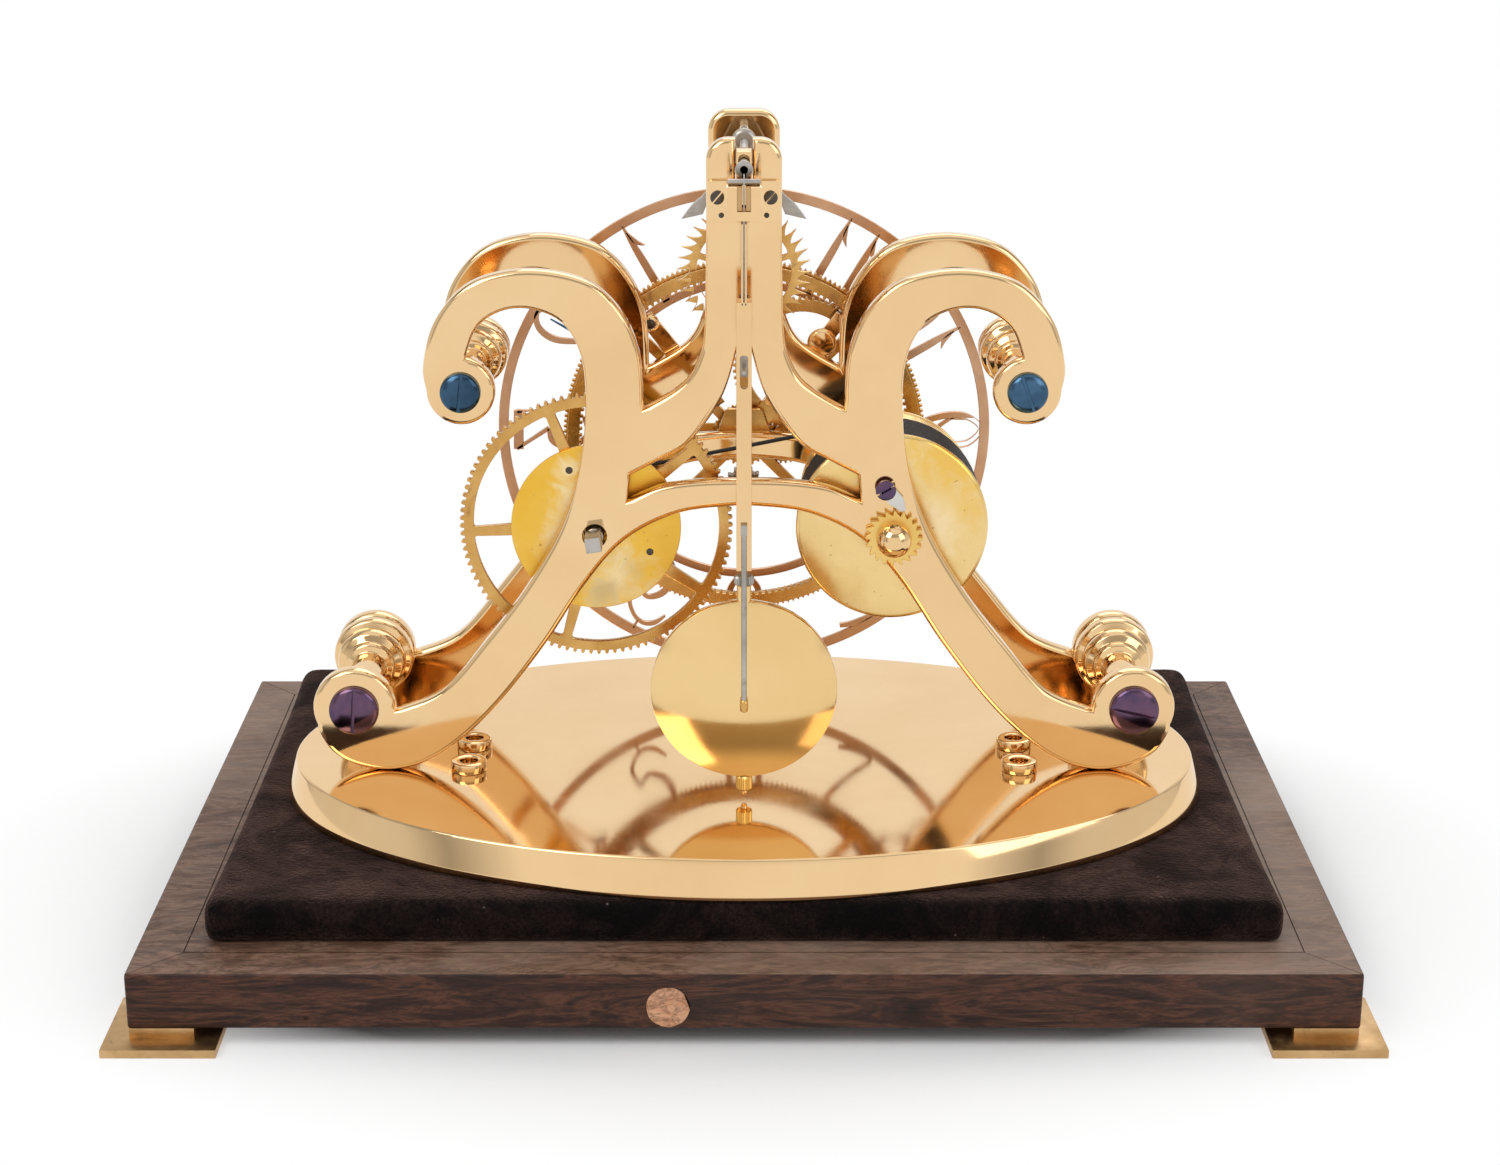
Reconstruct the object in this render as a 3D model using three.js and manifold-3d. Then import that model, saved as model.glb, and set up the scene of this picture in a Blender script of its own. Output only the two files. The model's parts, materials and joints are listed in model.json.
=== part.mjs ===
// Skeleton clock seen from its pendulum side: scroll plates on an oval base, a fusee train,
// an epicyclic wheel under the chapter ring, and a short pendulum behind the rear plate.
// Millimetres, +Z up. -Y is the pendulum side and +Y is the dial side.
import * as THREE from "three";
import { mergeVertices } from "three/addons/utils/BufferGeometryUtils.js";
import Module from "manifold-3d";

const wasm = await Module();
wasm.setup();

// Shared clearances
const runningGap = 0.3;
const seatGap = 0.05;
const cutOverrun = 1;
const holeTurnShare = 0.37;
const boreSides = 10;

// Plinth, feet, velvet pad and oval base
const footPlateSide = 31;
const footPlateHeight = 2.5;
const footBlockSide = 17.5;
const footBlockHeight = 3;
const footCentreInset = 9;
const plinthLength = 330;
const plinthDepth = 223;
const plinthHeight = 16;
const plinthEdge = 1;
const padLength = 296;
const padDepth = 188;
const padHeight = 12;
const padCornerRadius = 9;
const padRoll = 5;
const padSideDraw = 1.2;
const padLevelShares = [[0, 0], [0.5, 0], [0.75, 0.15], [0.92, 0.5], [1, 1]];
const padCornerSamples = 3;
const padSideSamples = 5;
const baseLength = 272;
const baseDepth = 169;
const baseHeight = 11;
const baseBevel = 3;
const baseLipHeight = 2.2;
const baseSides = 24;
const baseCentreY = -7;
const seatPostRadius = 5.2;
const seatPostBore = 2.6;
const seatPostHeight = 3;
const seatPostInset = 44.5;
const seatPostRearY = -24;
const seatPostPitch = 18;

// Plates
const plateThickness = 6;
const plateChamfer = 1.4;
const plateHeight = 185;
const plateHalfSpan = 125;
const plateGap = 44;
const rearPlateY = -25.5;
const upperEyeInset = 45.7;
const upperEyeHeight = 114.1;
const upperEyeRadius = 9.6;
const footEyeInset = 11.8;
const footEyeHeight = 19.1;
const footEyeRadius = 12;
const tongueHalfWidth = 10.4;
const tongueShoulder = 6;
const tongueSlotWidth = 4.9;
const tongueSlotDepth = 8.7;
const pocketWidth = 14.2;
const pocketHeight = 20;
const pocketDepth = 3;
const pocketTopMargin = 2.6;

// Pillars and their blued screws
const pillarScrewRadius = 3;
const upperScrewHeadRadius = 5.7;
const lowerScrewHeadRadius = 7.2;
const screwHeadRim = 1;
const screwDomeHeight = 2.2;
const screwShoulderShares = [0.6, 0.8];
const screwSlotWidth = 1;
const screwSlotDepth = 1.4;
const screwReach = 6;
const screwTurns = { upper_left: -0.12, upper_right: 0.35, lower_left: -0.08, lower_right: 1.35 };
const pillarSides = 9;
const screwSides = 8;

// Train
const centreHeight = 84;
const sideArborX = 42.5;
const sideArborDrop = 12;
const pivotRadius = 1;
const dedendumShare = 1.6;
const greatTeeth = 104;
const centrePinionLeaves = 14;
const greatWheelThickness = 2.2;
const greatWheelY = -15.6;
const greatHubRadius = 9;
const greatSpokes = 6;
const greatSpokeWidth = 3.4;
const greatRimWidth = 4;
const capRadius = 24.4;
const capThickness = 1.4;
const fuseeFlangeRadius = 21.4;
const fuseeFlangeThickness = 1.2;
const fuseeLargeRadius = 18.5;
const fuseeSmallRadius = 10;
const fuseeLength = 20;
const fuseePitch = 4.2;
const fuseeCurveShare = 1.2;
const grooveDepth = 0.6;
const grooveHalfWidth = 0.9;
const fuseeArborRadius = 2.6;
const windingSquareSide = 4.4;
const windingSquareLength = 9;
const windingSquareTurn = -0.15;
const barrelFlangeRadius = 28;
const barrelFlangeThickness = 1.4;
const barrelDrumRadius = 24.6;
const barrelY = -17.2;
const barrelLength = 34;
const barrelArborRadius = 2.6;
const ratchetTeeth = 20;
const ratchetRadius = 7.8;
const ratchetToothDepth = 1.3;
const ratchetFaceShare = 0.125;
const ratchetThickness = 2;
const domeNutRadius = 4.6;
const domeNutSeat = 2;
const clickWidth = 4.4;
const clickThickness = 1.4;
const clickTipWidth = 1;
const clickTipAngle = THREE.MathUtils.degToRad(70);
const clickPivotX = 40;
const clickPivotHeight = 86.2;
const clickScrewRadius = 2.9;
const clickScrewHead = 1.6;
const clickScrewShank = 1.2;
const clickSlotWidth = 0.6;
const clickSlotTurn = -0.5;

// Fusee line
const lineDiameter = 1.5;
const barrelLineTurns = 2.5;
const lineRunY = 4;
const lineEndBend = 1.6;
const lineEndStraight = 1.6;
const lineBendSteps = 3;
const lineSteps = 24;
const lineSides = 6;

// Epicyclic work in front of the front plate
const annulusTeeth = 156;
const sunTeeth = 26;
const planetTeeth = (annulusTeeth - sunTeeth) / 2;
const annulusPitchRadius = 49.4;
const annulusRimRadius = 53.6;
const annulusThickness = 1.8;
const ringWheelTeeth = 210;
const ringWheelPitchRadius = 54.7;
const ringWheelRimWidth = 4.6;
const ringWheelThickness = 2;
const ringWheelSpokes = 4;
const ringWheelSpokeWidth = 3;
const ringWheelHubRadius = 8;
const annulusFootRadius = 2;
const annulusFootDistance = 51.6;
const annulusFootAngles = [53, 127, 201, 339].map(THREE.MathUtils.degToRad);
const centreBridgeThickness = 1.8;
const centreBridgeWidth = 15.6;
const centreBridgeTopWidth = 11;
const centreBridgeDrop = 3.6;
const centreBridgeRise = 10.4;
const planetArmThickness = 1.2;
const planetArmWidth = 6;
const planetAngle = THREE.MathUtils.degToRad(53);
const planetStudRadius = 1.6;
const planetHubRadius = 4.8;
const planetRimRadius = 16.4;
const planetSpokes = 4;
const planetSpokeWidth = 2.2;
const layerGap = 0.5;
const centreArborRadius = 1.6;

// Escapement and pendulum
const escapeTeeth = 36;
const escapeRadius = 19.3;
const escapeToothDepth = 3.8;
const escapeLeanShare = 0.9;
const escapeRimWidth = 1.8;
const escapeThickness = 1.5;
const escapeY = 8;
const escapePinionLeaves = 11;
const escapeArborRadius = 1.3;
const escapeHubRadius = 3;
const escapeSpokes = 5;
const escapeSpokeWidth = 1.6;
const palletHeight = 179;
const palletThickness = 2;
const palletArborRadius = 1.2;
const palletHubRadius = 3.4;
const nibClearance = 0.9;
const pendulumSetback = 20.5;
const cockWidth = 20;
const cockHeight = 11.5;
const cockThickness = 2;
const cockLowerHeight = 162.5;
const cockArmWidth = 9.5;
const cockArmLength = 21.5;
const cockArmLower = 166.9;
const cockArmHeight = 9.3;
const cockArmSlotWidth = 3.7;
const cockArmSlotLength = 12.5;
const cockArmSlotStart = 1.8;
const cockLugWidth = 4.3;
const cockLugDepth = 4.5;
const cockLugTop = 182;
const cockScrewX = 7.3;
const cockScrewHeight = 169.4;
const cockScrewRadius = 1.9;
const cockScrewHead = 0.9;
const cockScrewShank = 0.8;
const cockScrewSlotWidth = 0.5;
const chopSlotWidth = 1.1;
const springThickness = 0.4;
const springDepth = 4.2;
const springLowerHeight = 158;
const springEyeMargin = 1.9;
const crossPinLength = 8.8;
const crossPinRadius = 0.8;
const rodNeckTop = 166.2;
const rodNeckWidth = 1.5;
const rodNeckDepth = 5.2;
const rodTop = 145;
const rodBottom = 68.5;
const rodWidth = 4.2;
const rodThickness = 1.6;
const rodSlotWidth = 2.2;
const rodSlotLower = 120.6;
const rodSlotHeight = 9.2;
const crutchReach = 54;
const crutchThickness = 1.2;
const crutchWidth = 1.8;
const crutchFootWidth = 3.4;
const crutchFootHeight = 6;
const crutchPinRadius = 0.6;
const crutchColletRadius = 2.4;
const crutchSetback = 6.9;
const bobRadius = 26.2;
const bobHalfThickness = 7;
const bobRimHalfThickness = 1.5;
const bobHeight = 33.6;
const bobSamples = 4;
const bobSides = 24;
const threadRadius = 0.9;
const threadLower = 1.4;
const collarRadius = 2.8;
const collarLower = 64.4;
const collarHeight = 2.7;
const fittingRadius = 2;
const fittingLower = 59;
const ratingNutRadius = 2.3;
const ratingNutHeight = 4.4;
const ratingNutEdge = 0.6;
const guardRodRadius = 0.8;
const guardRodTop = 80.8;
const guardRodBottom = 31;
const guardRodLean = 7.2;
const guardBallRadius = 1.3;
const guardClipHeight = 3;

// Chapter ring, motion work and hands
const dialHours = 12;
const dialRadius = 75.2;
const dialRimWidth = 3;
const dialInnerRadius = 45;
const dialInnerRimWidth = 2.4;
const dialThickness = 1.5;
const dialRimSides = 32;
const dialFootRadius = 1.8;
const dialFootDistance = 73.7;
const dialFootAngles = [90, -32.4, 212.4].map(THREE.MathUtils.degToRad);
const numeralWidth = 9.6;
const numeralStroke = 1.9;
const pairWidthShare = 0.46;
const pairOffsetShare = 0.36;
const barWidth = 5;
const barBossRadius = 6.4;
const barThickness = 1.4;
const motionDistance = 12;
const cannonTeeth = 12;
const minuteWheelTeeth = 36;
const minutePinionTeeth = 10;
const hourWheelTeeth = 40;
const motionThickness = 1.3;
const cannonPipeRadius = 2.2;
const hourPipeRadius = 3;
const studRadius = 0.9;
const handThickness = 0.7;
const minuteHandLength = 68;
const hourHandLength = 44;
const minuteLoopRadius = 3.4;
const hourLoopRadius = 4.2;
const loopRim = 1.1;
const handHubRadius = 4;
const handWidth = 2;
const handLoopShare = 0.66;
const handStemShare = 0.25;
const handTipShare = 0.125;
const minuteHandAngle = THREE.MathUtils.degToRad(60);
const hourHandAngle = THREE.MathUtils.degToRad(-55);

// Levels and arbor places that follow from the sizes above
const footHeight = footPlateHeight + footBlockHeight;
const plinthTop = footHeight + plinthHeight;
const padTop = plinthTop + padHeight;
const baseTop = padTop + baseHeight;
const plateFoot = baseTop + seatGap;
const rearInnerY = rearPlateY + plateThickness;
const frontInnerY = rearInnerY + plateGap;
const frontOuterY = frontInnerY + plateThickness;
const centreZ = plateFoot + centreHeight;
const sideZ = centreZ - sideArborDrop;
const sideToCentre = Math.hypot(sideArborX, sideArborDrop);
const greatPitchRadius = sideToCentre * greatTeeth / (greatTeeth + centrePinionLeaves);
const centrePinionRadius = sideToCentre - greatPitchRadius;
const escapePinionRadius = ringWheelPitchRadius * escapePinionLeaves / ringWheelTeeth;
const escapeZ = centreZ + ringWheelPitchRadius + escapePinionRadius;
const palletZ = plateFoot + palletHeight;
const sunPitchRadius = annulusPitchRadius * sunTeeth / annulusTeeth;
const planetPitchRadius = annulusPitchRadius * planetTeeth / annulusTeeth;
const planetOrbit = annulusPitchRadius - planetPitchRadius;
const planetArmY = frontOuterY + centreBridgeThickness + layerGap;
const annulusY = planetArmY + planetArmThickness + layerGap;
const ringWheelY = annulusY + annulusThickness + layerGap;
const cannonY = ringWheelY + ringWheelThickness + layerGap;
const hourWheelY = cannonY + motionThickness + layerGap;
const barY = hourWheelY + motionThickness + layerGap;
const dialY = barY + barThickness;
const hourHandY = dialY + dialThickness + layerGap;
const minuteHandY = hourHandY + handThickness + 2 * layerGap;
// Places of the two eyes in the outline's shares, which the outline follows when they move
const upperEyeShares = [0.6344, 0.6168];
const footEyeShares = [0.9056, 0.1032];
const upperEyeX = plateHalfSpan - upperEyeInset;
const footEyeX = plateHalfSpan - footEyeInset;
const seatPostX = plateHalfSpan - seatPostInset;
const pendulumY = rearPlateY - pendulumSetback;
const crutchY = pendulumY + crutchSetback;
const bobZ = plateFoot + bobHeight;
const cockArmTop = cockArmLower + cockArmHeight;
const ratchetY = rearPlateY - runningGap - ratchetThickness;
const ratchetInner = ratchetRadius - ratchetToothDepth;

// Outline of one half of a plate, as shares of the half span and of the height, from the tongue outwards
const branchShares = [[0.083, 0.88], [0.088, 0.72], [0.101, 0.668], [0.138, 0.627], [0.226, 0.589]];
const curlOuterShares = [[0.226, 0.589], [0.232, 0.672], [0.268, 0.735], [0.334, 0.781], [0.43, 0.801],
  [0.53, 0.8], [0.622, 0.777], [0.69, 0.722], [0.717, 0.656], [0.711, 0.617]];
const curlInnerShares = [[0.622, 0.668], [0.592, 0.717], [0.531, 0.742], [0.462, 0.742], [0.398, 0.718],
  [0.361, 0.662], [0.357, 0.578], [0.375, 0.487], [0.421, 0.395], [0.502, 0.3], [0.598, 0.213],
  [0.7, 0.133], [0.809, 0.1]];
const bottomShares = [[0.997, 0.075], [0.965, 0.034], [0.908, 0.009], [0.828, 0], [0.74, 0.015],
  [0.65, 0.057], [0.556, 0.123], [0.453, 0.216], [0.366, 0.307], [0.27, 0.382], [0.145, 0.425], [0, 0.437]];
const windowArchShares = [[0.265, 0.443], [0.19, 0.466], [0.1, 0.475], [0, 0.477]];
const windowBranchShares = [[0.258, 0.485], [0.19, 0.509], [0.13, 0.533], [0.077, 0.576], [0.042, 0.62],
  [0.018, 0.676], [0, 0.735]];

// Turned profile of a pillar, as shares of its length and of its collar radius
const pillarShares = [[0, 0.62], [0.04, 0.42], [0.5, 0.46], [0.66, 0.42], [0.69, 0.64], [0.78, 0.84],
  [0.84, 0.84], [0.88, 1], [0.97, 1], [1, 0.8]];

// Anchor, the half outline from its hub over the arm to the pallet and back, as shares of reach and drop
const anchorReach = 17.8;
const anchorDrop = 22.4;
const anchorOuterShares = [[0.16, -0.04], [0.42, 0.36], [0.62, 0.66], [0.82, 0.81], [1, 1]];
const anchorInnerShares = [[0.56, 0.76], [0.34, 0.52], [0.1, 0.24]];
const anchorNibShare = 0.66;

// Strokes of the numerals, as shares of a cell from its lower left corner
const digitStrokeShares = {
  0: [[[0.5, 0], [0.12, 0.24], [0.12, 0.76], [0.5, 1]], [[0.5, 0], [0.88, 0.24], [0.88, 0.76], [0.5, 1]]],
  1: [[[0.5, 0], [0.5, 1]], [[0.1, 0.78], [0.5, 0.96]]],
  2: [[[0.1, 0.72], [0.3, 0.97], [0.76, 0.94], [0.88, 0.68], [0.12, 0.04]], [[0.06, 0.03], [0.94, 0.03]]],
  3: [[[0.08, 0.97], [0.94, 0.97]], [[0.88, 0.97], [0.42, 0.6]],
    [[0.4, 0.6], [0.88, 0.42], [0.72, 0.05], [0.08, 0.1]]],
  4: [[[0.7, 0], [0.7, 1]], [[0.74, 0.98], [0.06, 0.32]], [[0.04, 0.3], [0.98, 0.3]]],
  5: [[[0.9, 0.97], [0.12, 0.97]], [[0.2, 0.97], [0.16, 0.56]],
    [[0.14, 0.58], [0.8, 0.54], [0.8, 0.06], [0.08, 0.1]]],
  6: [[[0.78, 1], [0.16, 0.6], [0.2, 0.08], [0.7, 0.03]],
    [[0.56, 0], [0.9, 0.28], [0.62, 0.54], [0.14, 0.44]]],
  7: [[[0.06, 0.97], [0.96, 0.97]], [[0.92, 0.97], [0.5, 0.5], [0.4, 0]]],
  8: [[[0.5, 0], [0.12, 0.2], [0.8, 0.78], [0.5, 1]], [[0.5, 0], [0.88, 0.2], [0.2, 0.78], [0.5, 1]]],
  9: [[[0.22, 0], [0.84, 0.4], [0.8, 0.92], [0.3, 0.97]],
    [[0.44, 1], [0.1, 0.72], [0.38, 0.46], [0.86, 0.56]]],
};

// Materials
const metal = (color, roughness) => new THREE.MeshStandardMaterial({ color, roughness, metalness: 1 });
const polishedBrass = metal(0xe3b35e, 0.15);
const satinBrass = metal(0xd9a63f, 0.35);
const wheelBrass = metal(0xc98f3a, 0.3);
const roseBrass = metal(0xb87a52, 0.35);
const bluedSteel = metal(0x1b2c44, 0.2);
const greySteel = metal(0x9b9792, 0.3);
const agedBrass = metal(0xb58a45, 0.5);
const rosewood = new THREE.MeshStandardMaterial({ color: 0x3a2420, roughness: 0.6 });
const velvet = new THREE.MeshStandardMaterial({ color: 0x1d1210, roughness: 1 });
const lineBlack = new THREE.MeshStandardMaterial({ color: 0x16130f, roughness: 0.7 });

const clock = new THREE.Group();

function addPiece(name, geometry, material, place = [0, 0, 0], turn = 0) {
  const piece = new THREE.Mesh(geometry, material);
  piece.name = name;
  piece.position.set(...place);
  piece.rotation.y = turn;
  clock.add(piece);
  return piece;
}

// Solids, joins and cuts
function toSolid(geometry) {
  const bare = geometry.index ? geometry.toNonIndexed() : geometry.clone();
  for (const name of Object.keys(bare.attributes)) {
    if (name !== "position") bare.deleteAttribute(name);
  }
  const welded = mergeVertices(bare, 1e-4);
  const index = welded.index.array;
  const kept = [];
  for (let i = 0; i < index.length; i += 3) {
    const [a, b, c] = [index[i], index[i + 1], index[i + 2]];
    if (a !== b && b !== c && a !== c) kept.push(a, b, c);
  }
  return new wasm.Manifold(new wasm.Mesh({
    numProp: 3,
    vertProperties: Float32Array.from(welded.attributes.position.array),
    triVerts: Uint32Array.from(kept),
  }));
}

function toGeometry(solid) {
  const mesh = solid.getMesh();
  const geometry = new THREE.BufferGeometry();
  geometry.setAttribute("position", new THREE.BufferAttribute(Float32Array.from(mesh.vertProperties), 3));
  geometry.setIndex(Array.from(mesh.triVerts));
  return geometry;
}

function joined(...geometries) {
  return toGeometry(geometries.map(toSolid).reduce((whole, next) => whole.add(next)));
}

function cut(geometry, ...tools) {
  return toGeometry(tools.map(toSolid).reduce((whole, next) => whole.subtract(next), toSolid(geometry)));
}

// Shapes drawn in X and Z and extruded along +Y from y = 0
function slab(shape, thickness, segments = 6) {
  const settings = { depth: thickness, bevelEnabled: false, curveSegments: segments };
  return new THREE.ExtrudeGeometry(shape, settings)
    .rotateX(Math.PI / 2)
    .translate(0, thickness, 0);
}

function box(width, depth, height, x = 0, y = 0, z = 0) {
  return new THREE.BoxGeometry(width, depth, height).translate(x, y, z);
}

// Radius of a bore of few sides that clears a shaft
function boreRadius(shaftRadius, gap = seatGap) {
  return (shaftRadius + gap) / Math.cos(Math.PI / boreSides);
}

// A cylinder along Y from y = 0
function roundBar(radius, length, sides = boreSides) {
  return new THREE.CylinderGeometry(radius, radius, length, sides).translate(0, length / 2, 0);
}

// A profile of [radius, y] turned about Y, its faces outwards whichever way the profile runs
function turned(profile, sides = 12) {
  const points = profile.map(([r, y]) => new THREE.Vector2(r, y));
  const isReversed = THREE.ShapeUtils.area(points) < 0;
  return new THREE.LatheGeometry(isReversed ? points.reverse() : points, sides);
}

function turnedUpright(profile, sides = 12) {
  return turned(profile, sides).rotateX(Math.PI / 2);
}

function arcPoints(x, z, radius, from, to, steps) {
  return Array.from({ length: steps + 1 }, (_, i) => {
    const angle = from + (to - from) * i / steps;
    return new THREE.Vector2(x + radius * Math.cos(angle), z + radius * Math.sin(angle));
  });
}

// A round hole, its corners turned off the axes
function circlePath(x, z, radius, sides = boreSides) {
  const turn = holeTurnShare * 2 * Math.PI / sides;
  const points = arcPoints(x, z, radius, turn, turn - 2 * Math.PI, sides);
  return new THREE.Path(points.slice(0, -1));
}

// Wheel teeth: a rim of flat roots, each with one pointed or flat-topped tooth
function toothPoints(teeth, tipRadius, rootRadius, tipShare, rootShare, turn = 0) {
  const pitch = 2 * Math.PI / teeth;
  const points = [];
  for (let i = 0; i < teeth; i += 1) {
    const middle = turn + i * pitch;
    const offsets = [[-rootShare / 2, rootRadius], [-tipShare / 2, tipRadius]];
    if (tipShare > 0) offsets.push([tipShare / 2, tipRadius]);
    if (rootShare < 1) offsets.push([rootShare / 2, rootRadius]);
    for (const [share, radius] of offsets) {
      const angle = middle + share * pitch;
      points.push(new THREE.Vector2(radius * Math.cos(angle), radius * Math.sin(angle)));
    }
  }
  return points;
}

// Openings between the spokes of a wheel
function spokeOpenings(count, hubRadius, rimRadius, spokeWidth, turn = 0, steps = 3) {
  const openings = [];
  for (let i = 0; i < count; i += 1) {
    const from = turn + 2 * Math.PI * i / count;
    const to = from + 2 * Math.PI / count;
    const outerTrim = Math.asin(spokeWidth / 2 / rimRadius);
    const innerTrim = Math.asin(spokeWidth / 2 / hubRadius);
    const outer = arcPoints(0, 0, rimRadius, from + outerTrim, to - outerTrim, steps);
    const inner = arcPoints(0, 0, hubRadius, to - innerTrim, from + innerTrim, 1);
    openings.push(new THREE.Path([...outer, ...inner].reverse()));
  }
  return openings;
}

function wheel(outline, thickness, holes) {
  const shape = new THREE.Shape(outline);
  shape.holes.push(...holes);
  return slab(shape, thickness);
}

// Feet: a small block under the plinth on a wider plate
function buildFeet() {
  const lower = box(footPlateSide, footPlateSide, footPlateHeight, 0, 0, footPlateHeight / 2);
  const upper = box(footBlockSide, footBlockSide, footBlockHeight, 0, 0,
    footPlateHeight + footBlockHeight / 2);
  const foot = joined(lower, upper);
  for (const [side, x] of [["left", -1], ["right", 1]]) {
    for (const [end, y] of [["rear", -1], ["dial", 1]]) {
      const place = [x * (plinthLength / 2 - footCentreInset), y * (plinthDepth / 2 - footCentreInset), 0];
      addPiece(`foot_${end}_${side}`, foot.clone(), agedBrass, place);
    }
  }
}

function buildPlinth() {
  const shape = new THREE.Shape([
    new THREE.Vector2(-plinthLength / 2, -plinthDepth / 2),
    new THREE.Vector2(plinthLength / 2, -plinthDepth / 2),
    new THREE.Vector2(plinthLength / 2, plinthDepth / 2),
    new THREE.Vector2(-plinthLength / 2, plinthDepth / 2),
  ]);
  const plinth = new THREE.ExtrudeGeometry(shape, {
    depth: plinthHeight - 2 * plinthEdge,
    bevelThickness: plinthEdge,
    bevelSize: plinthEdge,
    bevelOffset: -plinthEdge,
    bevelSegments: 1,
  });
  addPiece("plinth", plinth, rosewood, [0, 0, footHeight + plinthEdge]);
}

// Velvet pad: rings of a rounded rectangle, drawn in at the middle of each side and rolled over at the top
function padRing(inset, height) {
  const points = [];
  const halfX = padLength / 2 - padCornerRadius;
  const halfY = padDepth / 2 - padCornerRadius;
  const corners = [[1, -1, -Math.PI / 2], [1, 1, 0], [-1, 1, Math.PI / 2], [-1, -1, Math.PI]];
  corners.forEach(([sx, sy, from], k) => {
    for (let i = 0; i <= padCornerSamples; i += 1) {
      const angle = from + Math.PI / 2 * i / padCornerSamples;
      const radius = padCornerRadius - inset;
      points.push([sx * halfX + radius * Math.cos(angle), sy * halfY + radius * Math.sin(angle), height]);
    }
    const [nx, ny] = corners[(k + 1) % corners.length];
    const last = points[points.length - 1];
    const end = [nx * halfX, ny * halfY];
    for (let i = 1; i < padSideSamples; i += 1) {
      const along = i / padSideSamples;
      const draw = padSideDraw * Math.sin(Math.PI * along);
      const isLong = sx !== nx;
      const x = isLong ? last[0] + (end[0] - last[0]) * along : last[0] - Math.sign(last[0]) * draw;
      const y = isLong ? last[1] - Math.sign(last[1]) * draw : last[1] + (end[1] - last[1]) * along;
      points.push([x, y, height]);
    }
  });
  return points;
}

function buildPad() {
  const rings = padLevelShares.map(([rise, inset]) => padRing(inset * padRoll, rise * padHeight));
  const count = rings[0].length;
  const positions = rings.flat(2);
  const centre = positions.length / 3;
  positions.push(0, 0, 0, 0, 0, padHeight);
  const index = [];
  for (let r = 0; r + 1 < rings.length; r += 1) {
    for (let i = 0; i < count; i += 1) {
      const a = r * count + i;
      const b = r * count + (i + 1) % count;
      index.push(a, b, b + count, a, b + count, a + count);
    }
  }
  const top = (rings.length - 1) * count;
  for (let i = 0; i < count; i += 1) {
    const next = (i + 1) % count;
    index.push(centre, next, i);
    index.push(centre + 1, top + i, top + next);
  }
  const geometry = new THREE.BufferGeometry();
  geometry.setAttribute("position", new THREE.BufferAttribute(new Float32Array(positions), 3));
  geometry.setIndex(index);
  addPiece("velvet_pad", geometry, velvet, [0, 0, plinthTop]);
}

function buildBase() {
  const shape = new THREE.Shape();
  shape.absellipse(0, 0, baseLength / 2, baseDepth / 2, 0, 2 * Math.PI);
  const upper = new THREE.Shape();
  upper.absellipse(0, 0, baseLength / 2 - baseBevel, baseDepth / 2 - baseBevel, 0, 2 * Math.PI);
  const lowerPoints = shape.getPoints(baseSides).slice(0, -1);
  const upperPoints = upper.getPoints(baseSides).slice(0, -1);
  const rings = [[lowerPoints, 0], [lowerPoints, baseLipHeight], [upperPoints, baseHeight]];
  const count = lowerPoints.length;
  const positions = rings.flatMap(([points, height]) => points.flatMap((p) => [p.x, p.y, height]));
  const centre = positions.length / 3;
  positions.push(0, 0, 0, 0, 0, baseHeight);
  const index = [];
  for (let i = 0; i < count; i += 1) {
    const next = (i + 1) % count;
    for (let r = 0; r + 1 < rings.length; r += 1) {
      const [a, b] = [r * count + i, r * count + next];
      index.push(a, b, b + count, a, b + count, a + count);
    }
    const top = (rings.length - 1) * count;
    index.push(centre, next, i, centre + 1, top + i, top + next);
  }
  const geometry = new THREE.BufferGeometry();
  geometry.setAttribute("position", new THREE.BufferAttribute(new Float32Array(positions), 3));
  geometry.setIndex(index);
  addPiece("oval_base", geometry, polishedBrass, [0, baseCentreY, padTop]);
  const profile = [[seatPostBore, 0], [seatPostRadius, 0], [seatPostRadius, seatPostHeight],
    [seatPostBore, seatPostHeight], [seatPostBore, 0]];
  for (const [side, x] of [["left", -1], ["right", 1]]) {
    for (const [row, y] of [["rear", seatPostRearY], ["inner", seatPostRearY + seatPostPitch]]) {
      const place = [x * seatPostX, y, baseTop];
      addPiece(`seat_post_${row}_${side}`, turnedUpright(profile, 9), polishedBrass, place);
    }
  }
}

// Plates: one half outline of splines and eye arcs, mirrored, with pivot holes and a chamfered edge
function shared(pairs) {
  return pairs.map(([x, z]) => new THREE.Vector2(x * plateHalfSpan, z * plateHeight));
}

function splinePoints(pairs, perSpan = 1) {
  const points = shared(pairs);
  return new THREE.SplineCurve(points).getPoints((points.length - 1) * perSpan);
}

function mirrored(half) {
  const other = half.map((p) => new THREE.Vector2(-p.x, p.y)).reverse();
  const all = [...half, ...other];
  return all.filter((p, i) => p.distanceTo(all[(i + 1) % all.length]) > seatGap);
}

function angleTo(centreX, centreH, point) {
  return Math.atan2(point.y - centreH, point.x - centreX);
}

// How far an eye lies from its place in the outline's shares
function eyeShift(x, height, [acrossShare, upShare]) {
  return new THREE.Vector2(x - acrossShare * plateHalfSpan, height - upShare * plateHeight);
}

// Points that follow the eye at their end, the more the nearer they lie to it
function following(points, shift, count = points.length - 1) {
  const last = points.length - 1;
  return points.map((point, i) => {
    const share = Math.max(0, 1 - (last - i) / count);
    return point.clone().addScaledVector(shift, share);
  });
}

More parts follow.
